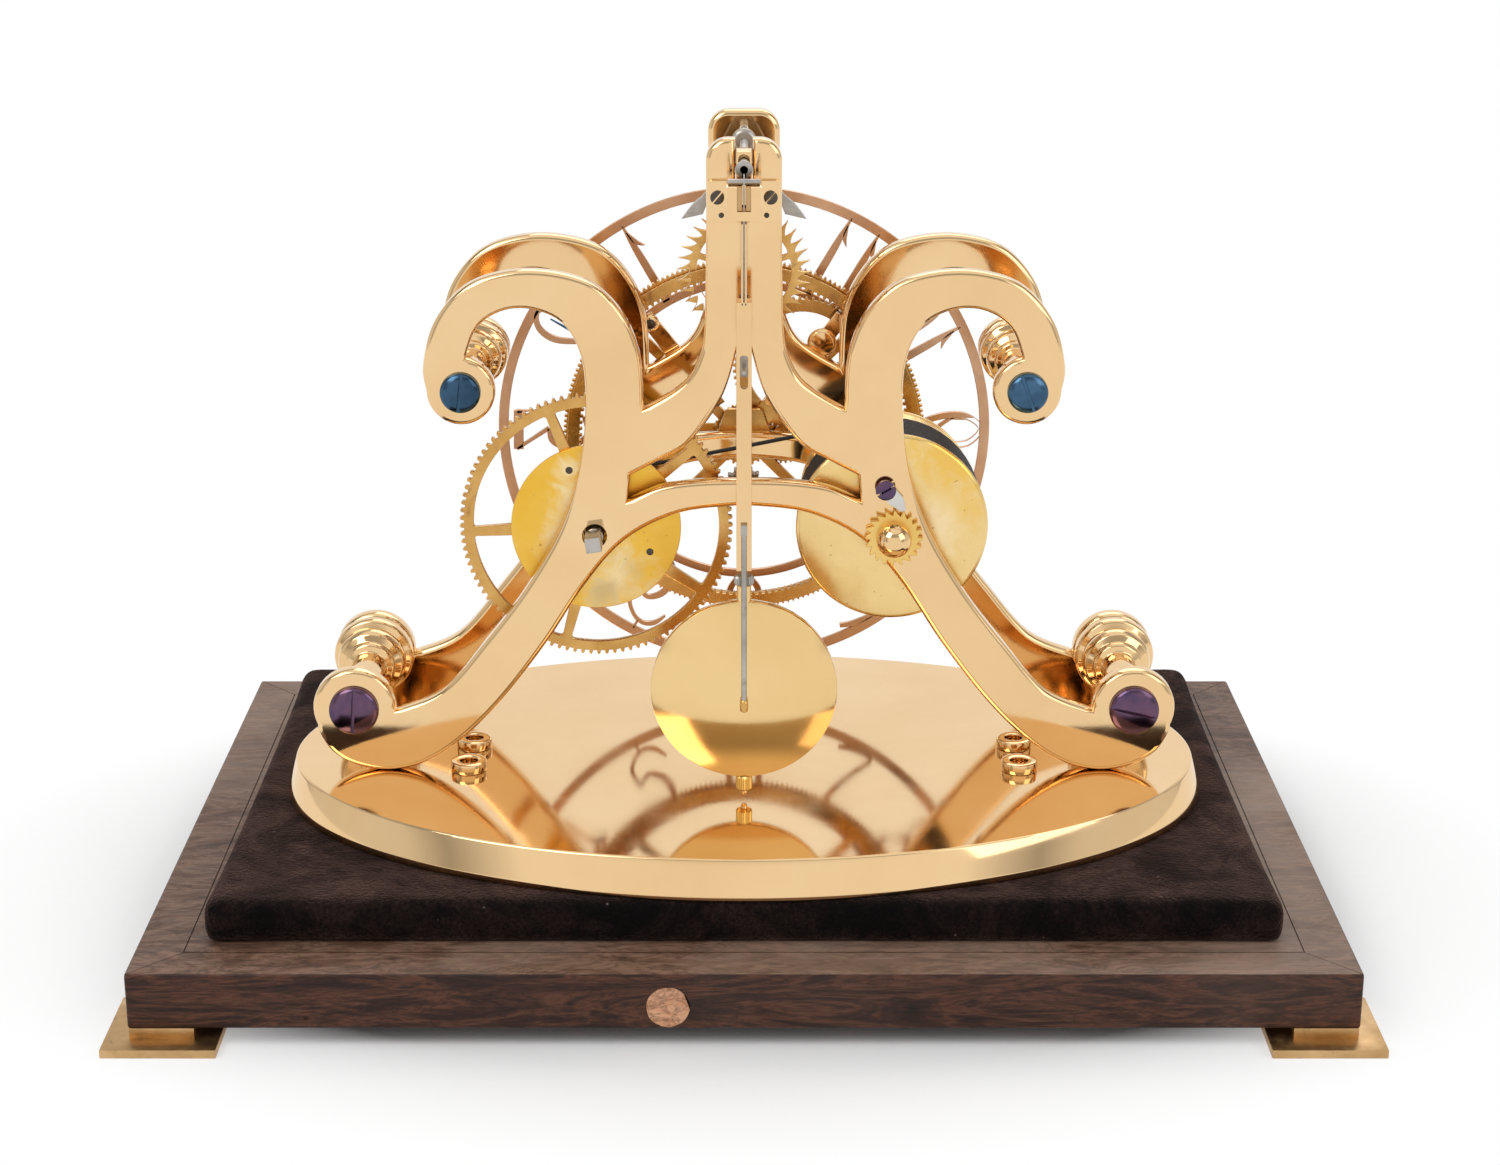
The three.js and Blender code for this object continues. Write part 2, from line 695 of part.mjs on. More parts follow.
function halfPlate(isSlotted) {
  const upperShift = eyeShift(upperEyeX, upperEyeHeight, upperEyeShares);
  const footShift = eyeShift(footEyeX, footEyeHeight, footEyeShares);
  const branch = splinePoints(branchShares);
  const curlOuter = following(splinePoints(curlOuterShares), upperShift);
  const halfCurl = (curlInnerShares.length - 1) / 2;
  const curlFromEye = following(splinePoints(curlInnerShares).reverse(), upperShift, halfCurl).reverse();
  const curlInner = following(curlFromEye, footShift, halfCurl);
  const halfBottom = bottomShares.length / 2;
  const bottom = following(splinePoints(bottomShares).reverse(), footShift, halfBottom).reverse();
  const upperFrom = angleTo(upperEyeX, upperEyeHeight, curlOuter[curlOuter.length - 1]);
  const upperTo = angleTo(upperEyeX, upperEyeHeight, curlInner[0]) - 2 * Math.PI;
  const footFrom = angleTo(footEyeX, footEyeHeight, curlInner[curlInner.length - 1]) + 2 * Math.PI;
  const footTo = angleTo(footEyeX, footEyeHeight, bottom[0]);
  const topArc = arcPoints(tongueHalfWidth - tongueShoulder, plateHeight - tongueShoulder, tongueShoulder,
    Math.PI / 2, 0, 4);
  const slot = [new THREE.Vector2(tongueSlotWidth / 2, plateHeight - tongueSlotDepth),
    new THREE.Vector2(tongueSlotWidth / 2, plateHeight)];
  return [
    ...(isSlotted ? slot : [new THREE.Vector2(0, plateHeight)]),
    ...topArc,
    ...branch,
    ...curlOuter.slice(1, -1),
    ...arcPoints(upperEyeX, upperEyeHeight, upperEyeRadius, upperFrom, upperTo, 8),
    ...curlInner.slice(1, -1),
    ...arcPoints(footEyeX, footEyeHeight, footEyeRadius, footFrom, footTo, 7),
    ...bottom.slice(1),
  ];
}

function plateShape(isSlotted) {
  const shape = new THREE.Shape(mirrored(halfPlate(isSlotted)).reverse());
  const arch = splinePoints(windowArchShares).reverse();
  const branch = splinePoints(windowBranchShares);
  shape.holes.push(new THREE.Path(mirrored([...arch, ...branch])));
  return shape;
}

// A plate with its outer edges chamfered; outwards is -1 for the rear plate and 1 for the front one
function plateBody(isSlotted, outwards) {
  const full = new THREE.ExtrudeGeometry(plateShape(isSlotted), {
    depth: plateThickness - plateChamfer,
    bevelThickness: plateChamfer,
    bevelSize: plateChamfer,
    bevelOffset: -plateChamfer,
    bevelSegments: 1,
  }).rotateX(Math.PI / 2).translate(0, plateThickness - (outwards > 0 ? plateChamfer : 0), 0);
  const spareDepth = plateChamfer + cutOverrun;
  const spareY = outwards > 0 ? -spareDepth / 2 : plateThickness + spareDepth / 2;
  const spare = box(2 * plateHalfSpan + cutOverrun, spareDepth, plateHeight + cutOverrun,
    0, spareY, plateHeight / 2);
  return cut(full, spare);
}

function throughHole(x, height, radius) {
  return roundBar(radius, plateThickness + 2 * cutOverrun, 8).translate(x, -cutOverrun, height);
}

const fuseeHole = fuseeArborRadius + runningGap;
const escapeHeight = escapeZ - plateFoot;
const sideHeight = sideZ - plateFoot;

function buildPlates() {
  const pillarHole = pillarScrewRadius + runningGap;
  const pillarHoles = [-1, 1].flatMap((side) => [
    throughHole(side * upperEyeX, upperEyeHeight, pillarHole),
    throughHole(side * footEyeX, footEyeHeight, pillarHole),
  ]);
  const rearHoles = [
    throughHole(0, centreHeight, pivotRadius + runningGap),
    throughHole(0, escapeHeight, pivotRadius + runningGap),
    throughHole(-sideArborX, sideHeight, fuseeHole),
    throughHole(sideArborX, sideHeight, barrelArborRadius + runningGap),
  ];
  const rear = cut(plateBody(true, -1), ...pillarHoles, ...rearHoles);
  addPiece("rear_plate", rear, polishedBrass, [0, rearPlateY, plateFoot]);
  const frontHoles = [
    throughHole(0, centreHeight, centreArborRadius + runningGap),
    throughHole(0, escapeHeight, escapeArborRadius + runningGap),
    throughHole(0, palletHeight, pivotRadius + runningGap),
    throughHole(-sideArborX, sideHeight, pivotRadius + runningGap),
    throughHole(sideArborX, sideHeight, pivotRadius + runningGap),
  ];
  const pocketRadius = pocketWidth / 2;
  const pocketTop = plateHeight - pocketTopMargin - pocketRadius;
  const pocketShape = new THREE.Shape([
    new THREE.Vector2(-pocketRadius, pocketTop - pocketHeight + pocketRadius),
    new THREE.Vector2(pocketRadius, pocketTop - pocketHeight + pocketRadius),
    ...arcPoints(0, pocketTop, pocketRadius, 0, Math.PI, 6),
  ]);
  const pocket = slab(pocketShape, pocketDepth + cutOverrun).translate(0, -cutOverrun, 0);
  const front = cut(plateBody(false, 1), pocket, ...frontHoles);
  addPiece("front_plate", front, polishedBrass, [0, frontInnerY, plateFoot]);
}

// Pillars: turned, bored for the rear screw and seated on the front plate
function pillar(collarRadius) {
  const bore = pillarScrewRadius + runningGap;
  const body = pillarShares.map(([along, across]) => [across * collarRadius, along * plateGap]);
  const boreDepth = screwReach + runningGap;
  return turned([[0, boreDepth], [bore, boreDepth], [bore, 0], ...body, [0, plateGap]], pillarSides);
}

function pillarScrew(headRadius) {
  const start = -(plateThickness + screwReach);
  const [across, up] = screwShoulderShares;
  const head = [[0, -start], [pillarScrewRadius, -start], [pillarScrewRadius, 0], [headRadius, 0],
    [headRadius, -screwHeadRim], [headRadius * across, -screwHeadRim - screwDomeHeight * up],
    [0, -screwHeadRim - screwDomeHeight]];
  const slot = box(screwSlotWidth, 2 * screwSlotDepth, 2 * headRadius + cutOverrun,
    0, -screwHeadRim - screwDomeHeight, 0);
  return cut(turned(head, screwSides), slot);
}

function buildPillars() {
  const rows = [
    ["upper", upperEyeX, upperEyeHeight, upperEyeRadius, upperScrewHeadRadius],
    ["lower", footEyeX, footEyeHeight, footEyeRadius, lowerScrewHeadRadius],
  ];
  for (const [row, x, height, radius, headRadius] of rows) {
    for (const [side, sign] of [["left", -1], ["right", 1]]) {
      const place = [sign * x, rearInnerY, plateFoot + height];
      addPiece(`pillar_${row}_${side}`, pillar(radius), polishedBrass, place);
      const screwPlace = [sign * x, rearPlateY, plateFoot + height];
      const screwTurn = -screwTurns[`${row}_${side}`];
      addPiece(`screw_${row}_${side}`, pillarScrew(headRadius), bluedSteel, screwPlace, screwTurn);
    }
  }
}

// Great wheel, fusee and winding square on the left arbor
const fuseeStart = greatWheelY + greatWheelThickness + runningGap;

function fuseeRadiusAt(y) {
  const share = THREE.MathUtils.clamp((y - fuseeStart) / fuseeLength, 0, 1);
  return fuseeSmallRadius + (fuseeLargeRadius - fuseeSmallRadius) * (1 - share) ** fuseeCurveShare;
}

// The line leaves the fusee and the barrel on top, turned by the slope of their common tangent.
// It follows the groove and clears the lands, so the fusee turns free of it.
const barrelWound = (barrelDrumRadius + lineDiameter / 2) / Math.cos(Math.PI / lineSteps) + seatGap;
const lineLift = lineDiameter / 2 + runningGap;
const fuseeWound = (y) => fuseeRadiusAt(y) + lineLift;
const lineSlope = Math.asin((barrelWound - fuseeWound(lineRunY)) / (2 * sideArborX));
const leaveAngle = Math.PI / 2 + lineSlope;
const neckEnd = fuseeStart + fuseeFlangeThickness + lineEndBend + lineEndStraight + lineDiameter / 2;

function buildGreatWheel() {
  const addendum = greatPitchRadius / greatTeeth;
  const outline = toothPoints(greatTeeth, greatPitchRadius + addendum,
    greatPitchRadius - dedendumShare * addendum, 0, 1,
    Math.atan2(sideArborDrop, sideArborX) + Math.PI / greatTeeth);
  const bore = circlePath(0, 0, fuseeArborRadius + runningGap);
  const rim = greatPitchRadius - greatRimWidth;
  const openings = spokeOpenings(greatSpokes, greatHubRadius, rim, greatSpokeWidth, Math.PI / 2);
  const place = [-sideArborX, greatWheelY, sideZ];
  addPiece("great_wheel", wheel(outline, greatWheelThickness, [bore, ...openings]), wheelBrass, place);
  const cap = wheel(arcPoints(0, 0, capRadius, 0, 2 * Math.PI, 24).slice(0, -1), capThickness,
    [circlePath(0, 0, fuseeArborRadius + runningGap)]);
  addPiece("great_wheel_cap", cap, satinBrass, [-sideArborX, greatWheelY - capThickness, sideZ]);
}

// Radius of the fusee at a level and an angle, with the helical groove that the line follows
function fuseeSurface(y, angle) {
  const turns = (angle - leaveAngle) / (2 * Math.PI);
  const fromGroove = (y - lineRunY) / fuseePitch + turns;
  const distance = Math.abs(fromGroove - Math.round(fromGroove)) * fuseePitch;
  const share = Math.max(0, 1 - distance / grooveHalfWidth);
  return fuseeRadiusAt(y) - grooveDepth * share;
}

function buildFusee() {
  const last = fuseeStart + fuseeLength;
  const neckRadius = fuseeRadiusAt(neckEnd) - grooveDepth;
  const bore = fuseeArborRadius + seatGap;
  const turnsAll = Math.ceil(fuseeLength / fuseePitch) + 1;
  const edgeShare = grooveHalfWidth / fuseePitch;
  const sampleShares = [0, edgeShare, 1 - edgeShare];
  const columns = [];
  for (let j = 0; j <= lineSteps; j += 1) {
    const angle = leaveAngle + 2 * Math.PI * j / lineSteps;
    const column = [[bore, fuseeStart], [fuseeFlangeRadius, fuseeStart],
      [fuseeFlangeRadius, fuseeStart + fuseeFlangeThickness],
    [neckRadius, fuseeStart + fuseeFlangeThickness],
      [neckRadius, neckEnd]];
    for (let k = -turnsAll; k <= turnsAll; k += 1) {
      for (const share of sampleShares) {
        const raw = lineRunY + fuseePitch * (k + share - j / lineSteps);
        const y = THREE.MathUtils.clamp(raw, neckEnd, last);
        column.push([fuseeSurface(y, angle), y]);
      }
    }
    column.push([bore, last], [bore, fuseeStart]);
    columns.push(column.map(([r, y]) => [r * Math.cos(angle), y, r * Math.sin(angle)]));
  }
  const positions = columns.flat(2);
  const rows = columns[0].length;
  const index = [];
  for (let j = 0; j < lineSteps; j += 1) {
    for (let i = 0; i + 1 < rows; i += 1) {
      const a = j * rows + i;
      index.push(a, a + 1, a + rows + 1, a, a + rows + 1, a + rows);
    }
  }
  const surface = new THREE.BufferGeometry();
  surface.setAttribute("position", new THREE.BufferAttribute(new Float32Array(positions), 3));
  surface.setIndex(index);
  addPiece("fusee", toGeometry(toSolid(surface)), satinBrass, [-sideArborX, 0, sideZ]);
  const frontEnd = frontInnerY + plateThickness / 2 - rearPlateY;
  const shoulder = frontInnerY - runningGap - rearPlateY;
  const shaft = turned([[0, -runningGap], [fuseeArborRadius, -runningGap], [fuseeArborRadius, shoulder],
    [pivotRadius, shoulder], [pivotRadius, frontEnd], [0, frontEnd]]);
  const squareY = -windingSquareLength / 2;
  const square = box(windingSquareSide, windingSquareLength, windingSquareSide, 0, squareY, 0);
  const place = [-sideArborX, rearPlateY, sideZ];
  addPiece("fusee_arbor", joined(shaft, square), greySteel, place, windingSquareTurn);
}

// Barrel, its arbor, ratchet and click on the right arbor
function buildBarrel() {
  const length = barrelLength;
  const wall = barrelFlangeThickness;
  const bore = barrelArborRadius + runningGap;
  const profile = [[bore, 0], [barrelFlangeRadius, 0], [barrelFlangeRadius, wall], [barrelDrumRadius, wall],
    [barrelDrumRadius, length - wall], [barrelFlangeRadius, length - wall], [barrelFlangeRadius, length],
    [bore, length], [bore, 0]];
  addPiece("barrel", turned(profile, 24), satinBrass, [sideArborX, barrelY, sideZ]);
  const tail = rearPlateY - ratchetY + domeNutSeat;
  const frontEnd = frontInnerY + plateThickness / 2 - rearPlateY;
  const shoulder = frontInnerY - runningGap - rearPlateY;
  const arbor = turned([[0, -tail], [barrelArborRadius, -tail], [barrelArborRadius, shoulder],
    [pivotRadius, shoulder], [pivotRadius, frontEnd], [0, frontEnd]]);
  addPiece("barrel_arbor", arbor, greySteel, [sideArborX, rearPlateY, sideZ]);
  const teeth = [];
  for (let i = 0; i < ratchetTeeth; i += 1) {
    const pitch = 2 * Math.PI / ratchetTeeth;
    teeth.push(...arcPoints(0, 0, ratchetRadius, i * pitch, i * pitch, 1).slice(1));
    const face = (i + ratchetFaceShare) * pitch;
    teeth.push(...arcPoints(0, 0, ratchetInner, face, face, 1).slice(1));
  }
  const hole = circlePath(0, 0, boreRadius(barrelArborRadius));
  const ratchet = wheel(teeth, ratchetThickness, [hole]);
  addPiece("ratchet_wheel", ratchet, satinBrass, [sideArborX, ratchetY, sideZ]);
  const dome = arcPoints(0, -domeNutSeat, domeNutRadius, 0, -Math.PI / 2, 3).slice(0, -1);
  const nut = turned([[0, 0], [domeNutRadius, 0], ...dome.map((p) => [p.x, p.y]),
    [0, -domeNutSeat - domeNutRadius]]);
  const nutBore = roundBar(boreRadius(barrelArborRadius), domeNutSeat + cutOverrun)
    .translate(0, -domeNutSeat, 0);
  addPiece("dome_nut", cut(nut, nutBore), polishedBrass, [sideArborX, ratchetY, sideZ]);
}

function buildClick() {
  const pivotZ = plateFoot + clickPivotHeight;
  const away = new THREE.Vector2(clickPivotX - sideArborX, pivotZ - sideZ);
  const tipRadius = ratchetRadius + 2 * runningGap;
  const tip = arcPoints(0, 0, tipRadius, clickTipAngle, clickTipAngle, 1)[0].sub(away);
  const half = clickWidth / 2;
  const lean = Math.atan2(tip.y, tip.x);
  const side = new THREE.Vector2(-Math.sin(lean), Math.cos(lean)).multiplyScalar(clickTipWidth / 2);
  const outline = [
    ...arcPoints(0, 0, half, lean + Math.PI / 2, lean + 1.5 * Math.PI, 8),
    tip.clone().sub(side),
    tip.clone().add(side),
  ];
  const shape = new THREE.Shape(outline);
  shape.holes.push(circlePath(0, 0, clickScrewShank + runningGap));
  const clickY = rearPlateY - runningGap - clickThickness;
  addPiece("click", slab(shape, clickThickness), greySteel, [clickPivotX, clickY, pivotZ]);
  const head = turned([[0, 0], [clickScrewShank, 0], [clickScrewShank, -clickThickness - 2 * runningGap],
    [clickScrewRadius, -clickThickness - 2 * runningGap],
    [clickScrewRadius, -clickThickness - clickScrewHead],
    [0, -clickThickness - clickScrewHead]], 12);
  const slot = box(2 * clickScrewRadius + cutOverrun, clickScrewHead, clickSlotWidth, 0,
    -clickThickness - clickScrewHead, 0).rotateY(clickSlotTurn);
  addPiece("click_screw", cut(head, slot), bluedSteel, [clickPivotX, rearPlateY, pivotZ]);
}

// Fusee line: one tube that winds off the barrel, runs across and winds onto the fusee
function sweptTube(centres, radius, sides) {
  const positions = [];
  const first = centres[1].clone().sub(centres[0]).normalize();
  let side = new THREE.Vector3(first.y ** 2, 1 - first.y ** 2, 0);
  centres.forEach((centre, i) => {
    const ahead = centres[Math.min(i + 1, centres.length - 1)];
    const behind = centres[Math.max(i - 1, 0)];
    const along = ahead.clone().sub(behind).normalize();
    side = side.clone().addScaledVector(along, -side.dot(along)).normalize();
    const across = along.clone().cross(side);
    for (let k = 0; k < sides; k += 1) {
      const angle = 2 * Math.PI * k / sides;
      const point = centre.clone()
        .addScaledVector(side, Math.cos(angle) * radius)
        .addScaledVector(across, Math.sin(angle) * radius);
      positions.push(point.x, point.y, point.z);
    }
  });
  const index = [];
  const end = (centres.length - 1) * sides;
  for (let i = 0; i + 1 < centres.length; i += 1) {
    for (let k = 0; k < sides; k += 1) {
      const a = i * sides + k;
      const b = i * sides + (k + 1) % sides;
      index.push(a, b, b + sides, a, b + sides, a + sides);
    }
  }
  for (let k = 1; k + 1 < sides; k += 1) index.push(0, k + 1, k, end, end + k, end + k + 1);
  const geometry = new THREE.BufferGeometry();
  geometry.setAttribute("position", new THREE.BufferAttribute(new Float32Array(positions), 3));
  geometry.setIndex(index);
  return geometry;
}

// Centres of the last stretch, bent from the winding towards a flange and then straight into it
function lineEnd(last, previous, flangeY) {
  const along = last.clone().sub(previous).setY(0).normalize();
  const toFlange = new THREE.Vector3(0, Math.sign(flangeY - last.y), 0);
  const bend = Array.from({ length: lineBendSteps }, (_, i) => {
    const angle = Math.PI / 2 * (i + 1) / lineBendSteps;
    return last.clone()
      .addScaledVector(along, lineEndBend * Math.sin(angle))
      .addScaledVector(toFlange, lineEndBend * (1 - Math.cos(angle)));
  });
  const end = bend[bend.length - 1].clone().setY(flangeY);
  return [...bend, end];
}

function leastGap(centres) {
  const lengths = centres.map((point, i) => (i ? point.distanceTo(centres[i - 1]) : 0));
  const along = lengths.map((_, i) => lengths.slice(0, i + 1).reduce((sum, step) => sum + step, 0));
  let least = Infinity;
  for (let i = 0; i < centres.length; i += 1) {
    for (let j = i + 1; j < centres.length; j += 1) {
      const isApart = along[j] - along[i] > lineDiameter * Math.PI * 2;
      if (isApart) least = Math.min(least, centres[i].distanceTo(centres[j]));
    }
  }
  return least - lineDiameter;
}

function lineCentre(arborX, angle, radius, y) {
  return new THREE.Vector3(arborX + radius * Math.cos(angle), y, sideZ + radius * Math.sin(angle));
}

function buildLine() {
  const barrelFace = barrelY + barrelLength - barrelFlangeThickness;
  const barrelLast = barrelFace - lineEndBend - lineEndStraight;
  const barrelPitch = (barrelLast - lineRunY) / barrelLineTurns;
  const fuseeFace = fuseeStart + fuseeFlangeThickness;
  const onBarrel = [];
  for (let i = 0; i <= barrelLineTurns * lineSteps; i += 1) {
    const angle = leaveAngle - 2 * Math.PI * i / lineSteps;
    const y = lineRunY + barrelPitch * i / lineSteps;
    onBarrel.push(lineCentre(sideArborX, angle, barrelWound, y));
  }
  const onFusee = [];
  const fuseeRun = lineRunY - fuseeFace - lineEndBend - lineEndStraight;
  const fuseeTurnSteps = Math.floor(fuseeRun / fuseePitch * lineSteps);
  for (let i = 0; i <= fuseeTurnSteps; i += 1) {
    const angle = leaveAngle + 2 * Math.PI * i / lineSteps;
    const y = lineRunY - fuseePitch * i / lineSteps;
    onFusee.push(lineCentre(-sideArborX, angle, fuseeWound(y), y));
  }
  const barrelEnd = lineEnd(onBarrel[onBarrel.length - 1], onBarrel[onBarrel.length - 2], barrelFace);
  const fuseeEnd = lineEnd(onFusee[onFusee.length - 1], onFusee[onFusee.length - 2], fuseeFace);
  const centres = [...barrelEnd.reverse(), ...onBarrel.reverse(), ...onFusee, ...fuseeEnd];
  console.log("line turns on the fusee:", (fuseeTurnSteps / lineSteps).toFixed(2));
  console.log("line least gap to itself, mm:", leastGap(centres).toFixed(2));
  addPiece("fusee_line", sweptTube(centres, lineDiameter / 2, lineSides), lineBlack);
}

// Centre arbor with its pinion, and the planet arm on it
function buildCentre() {
  const leafAddendum = greatPitchRadius / greatTeeth;
  const pinionTurn = Math.atan2(sideArborDrop, sideArborX) + Math.PI;
  const leaves = toothPoints(centrePinionLeaves, centrePinionRadius + leafAddendum,
    centrePinionRadius - leafAddendum * dedendumShare, 0, 1, pinionTurn);
  const pinion = wheel(leaves, greatWheelThickness + 2 * runningGap, [])
    .translate(0, greatWheelY - runningGap, 0);
  const start = rearPlateY + plateThickness / 2;
  const shoulder = rearInnerY + runningGap;
  const end = minuteHandY + handThickness + layerGap;
  const shaft = turned([[0, start], [pivotRadius, start], [pivotRadius, shoulder],
    [centreArborRadius, shoulder], [centreArborRadius, minuteHandY], [pivotRadius, minuteHandY],
    [pivotRadius, end], [0, end]], 10);
  addPiece("centre_arbor", joined(shaft, pinion), greySteel, [0, 0, centreZ]);
  const half = planetArmWidth / 2;
  const armShape = new THREE.Shape([
    ...arcPoints(0, 0, half, planetAngle + Math.PI / 2, planetAngle + 1.5 * Math.PI, 6),
    ...arcPoints(planetOrbit * Math.cos(planetAngle), planetOrbit * Math.sin(planetAngle), half,
      planetAngle - Math.PI / 2, planetAngle + Math.PI / 2, 6),
  ]);
  armShape.holes.push(circlePath(0, 0, boreRadius(centreArborRadius)));
  const stud = roundBar(planetStudRadius, planetArmThickness + layerGap + annulusThickness)
    .translate(planetOrbit * Math.cos(planetAngle), 0, planetOrbit * Math.sin(planetAngle));
  const arm = joined(slab(armShape, planetArmThickness), stud);
  addPiece("planet_arm", arm, wheelBrass, [0, planetArmY, centreZ]);
  const addendum = annulusPitchRadius / annulusTeeth;
  const teeth = toothPoints(planetTeeth, planetPitchRadius + addendum,
    planetPitchRadius - dedendumShare * addendum, 0, 1, planetAngle);
  const planet = wheel(teeth, annulusThickness, [
    circlePath(0, 0, boreRadius(planetStudRadius, runningGap)),
    ...spokeOpenings(planetSpokes, planetHubRadius, planetRimRadius, planetSpokeWidth, planetAngle),
  ]);
  addPiece("planet_wheel", planet, wheelBrass, [planetOrbit * Math.cos(planetAngle), annulusY,
    centreZ + planetOrbit * Math.sin(planetAngle)]);
}

// Centre bridge, fixed annulus on four feet, and the toothed ring wheel that carries the sun pinion
function buildEpicyclic() {
  const half = centreBridgeWidth / 2;
  const shape = new THREE.Shape([
    new THREE.Vector2(-half, -centreBridgeDrop),
    new THREE.Vector2(half, -centreBridgeDrop),
    new THREE.Vector2(half, centreBridgeDrop),
    new THREE.Vector2(centreBridgeTopWidth / 2, centreBridgeRise),
    new THREE.Vector2(-centreBridgeTopWidth / 2, centreBridgeRise),
    new THREE.Vector2(-half, centreBridgeDrop),
  ]);
  shape.holes.push(circlePath(0, 0, centreArborRadius + runningGap));
  addPiece("centre_bridge", slab(shape, centreBridgeThickness), wheelBrass, [0, frontOuterY, centreZ]);
  const addendum = annulusPitchRadius / annulusTeeth;
  const pitch = 2 * Math.PI / annulusTeeth;
  const teeth = toothPoints(annulusTeeth, annulusPitchRadius - addendum,
    annulusPitchRadius + dedendumShare * addendum, 0, 1, planetAngle + pitch / 2);
  const rim = arcPoints(0, 0, annulusRimRadius, 0, 2 * Math.PI, 32).slice(0, -1);
  const ringPlate = wheel(rim, annulusThickness, [new THREE.Path(teeth.reverse())]);
  const footLength = annulusY - frontOuterY;
  const feet = annulusFootAngles.map((angle) => {
    const place = arcPoints(0, 0, annulusFootDistance, angle, angle, 1)[0];
    return roundBar(annulusFootRadius, footLength + seatGap, 8).translate(place.x, -footLength, place.y);
  });
  addPiece("annulus", joined(ringPlate, ...feet), wheelBrass, [0, annulusY, centreZ]);
  const outerAddendum = ringWheelPitchRadius / ringWheelTeeth;
  const outline = toothPoints(ringWheelTeeth, ringWheelPitchRadius + outerAddendum,
    ringWheelPitchRadius - dedendumShare * outerAddendum, 0, 1, Math.PI / 2 + Math.PI / ringWheelTeeth);
  const hole = circlePath(0, 0, centreArborRadius + runningGap);
  const openings = spokeOpenings(ringWheelSpokes, ringWheelHubRadius,
    ringWheelPitchRadius - ringWheelRimWidth,
    ringWheelSpokeWidth, Math.PI / 4, 6);
  const ring = wheel(outline, ringWheelThickness, [hole, ...openings]).translate(0, ringWheelY, 0);
  const sunTeethPoints = toothPoints(sunTeeth, sunPitchRadius + addendum,
    sunPitchRadius - dedendumShare * addendum, 0, 1, planetAngle);
  const sunBore = circlePath(0, 0, centreArborRadius + runningGap);
  const sun = wheel(sunTeethPoints, ringWheelY - annulusY + seatGap, [sunBore]).translate(0, annulusY, 0);
  addPiece("ring_wheel", joined(ring, sun), wheelBrass, [0, 0, centreZ]);
}

// Escape wheel, its arbor, the anchor and the crutch
function buildEscapement() {
  const pitch = 2 * Math.PI / escapeTeeth;
  const outline = [];
  const root = escapeRadius - escapeToothDepth;
  for (let i = 0; i < escapeTeeth; i += 1) {
    outline.push(arcPoints(0, 0, root, i * pitch, i * pitch, 1)[0]);
    outline.push(arcPoints(0, 0, escapeRadius, (i + escapeLeanShare) * pitch, 0, 1)[0]);
  }
  const holes = [circlePath(0, 0, boreRadius(escapeArborRadius)),
    ...spokeOpenings(escapeSpokes, escapeHubRadius, root - escapeRimWidth, escapeSpokeWidth, Math.PI / 2)];
  addPiece("escape_wheel", wheel(outline, escapeThickness, holes), wheelBrass, [0, escapeY, escapeZ]);
  const addendum = ringWheelPitchRadius / ringWheelTeeth;
  const leaves = toothPoints(escapePinionLeaves, escapePinionRadius + addendum,
    escapePinionRadius - dedendumShare * addendum, 0, 1, -Math.PI / 2);
  const pinion = wheel(leaves, ringWheelThickness + 2 * runningGap, [])
    .translate(0, ringWheelY - runningGap, 0);
  const start = rearPlateY + plateThickness / 2;
  const shoulder = rearInnerY + runningGap;
  const end = ringWheelY + ringWheelThickness;
  const shaft = turned([[0, start], [pivotRadius, start], [pivotRadius, shoulder],
    [escapeArborRadius, shoulder], [escapeArborRadius, end], [0, end]], 12);
  addPiece("escape_arbor", joined(shaft, pinion), greySteel, [0, 0, escapeZ]);
  buildAnchor();
}

function buildAnchor() {
  const scaled = (pairs) => pairs.map(([x, z]) => new THREE.Vector2(x * anchorReach, -z * anchorDrop));
  const nibX = anchorNibShare * anchorReach;
  const nibZ = escapeZ + Math.sqrt((escapeRadius + nibClearance) ** 2 - nibX ** 2) - palletZ;
  const half = [...scaled(anchorOuterShares), new THREE.Vector2(nibX, nibZ), ...scaled(anchorInnerShares)];
  const left = half.map((p) => new THREE.Vector2(-p.x, p.y)).reverse();
  const blade = slab(new THREE.Shape([...half, ...left].reverse()), palletThickness);
  const hub = roundBar(palletHubRadius, palletThickness, 16);
  const bore = roundBar(boreRadius(palletArborRadius), palletThickness + 2 * cutOverrun)
    .translate(0, -cutOverrun, 0);
  addPiece("anchor", cut(joined(blade, hub), bore), greySteel, [0, escapeY - runningGap, palletZ]);
  const arborEnd = frontInnerY + pocketDepth + 2 * pivotRadius;
  const arborShoulder = frontInnerY + pocketDepth - runningGap;
  const arbor = turned([[0, crutchY], [palletArborRadius, crutchY], [palletArborRadius, arborShoulder],
    [pivotRadius, arborShoulder], [pivotRadius, arborEnd], [0, arborEnd]], 12);
  addPiece("pallet_arbor", arbor, greySteel, [0, 0, palletZ]);
  const strip = box(crutchWidth, crutchThickness, crutchReach, 0, crutchThickness / 2, -crutchReach / 2);
  const foot = box(crutchFootWidth, crutchThickness, crutchFootHeight,
    0, crutchThickness / 2, -crutchReach);
  const collet = roundBar(crutchColletRadius, crutchThickness, 16);
  const pinReach = crutchY - pendulumY + rodThickness / 2;
  const pin = roundBar(crutchPinRadius, pinReach + crutchThickness).translate(0, -pinReach, -crutchReach);
  const eye = roundBar(boreRadius(palletArborRadius), crutchThickness + 2 * cutOverrun)
    .translate(0, -cutOverrun, 0);
  addPiece("crutch", cut(joined(strip, foot, collet, pin), eye), greySteel, [0, crutchY, palletZ]);
}

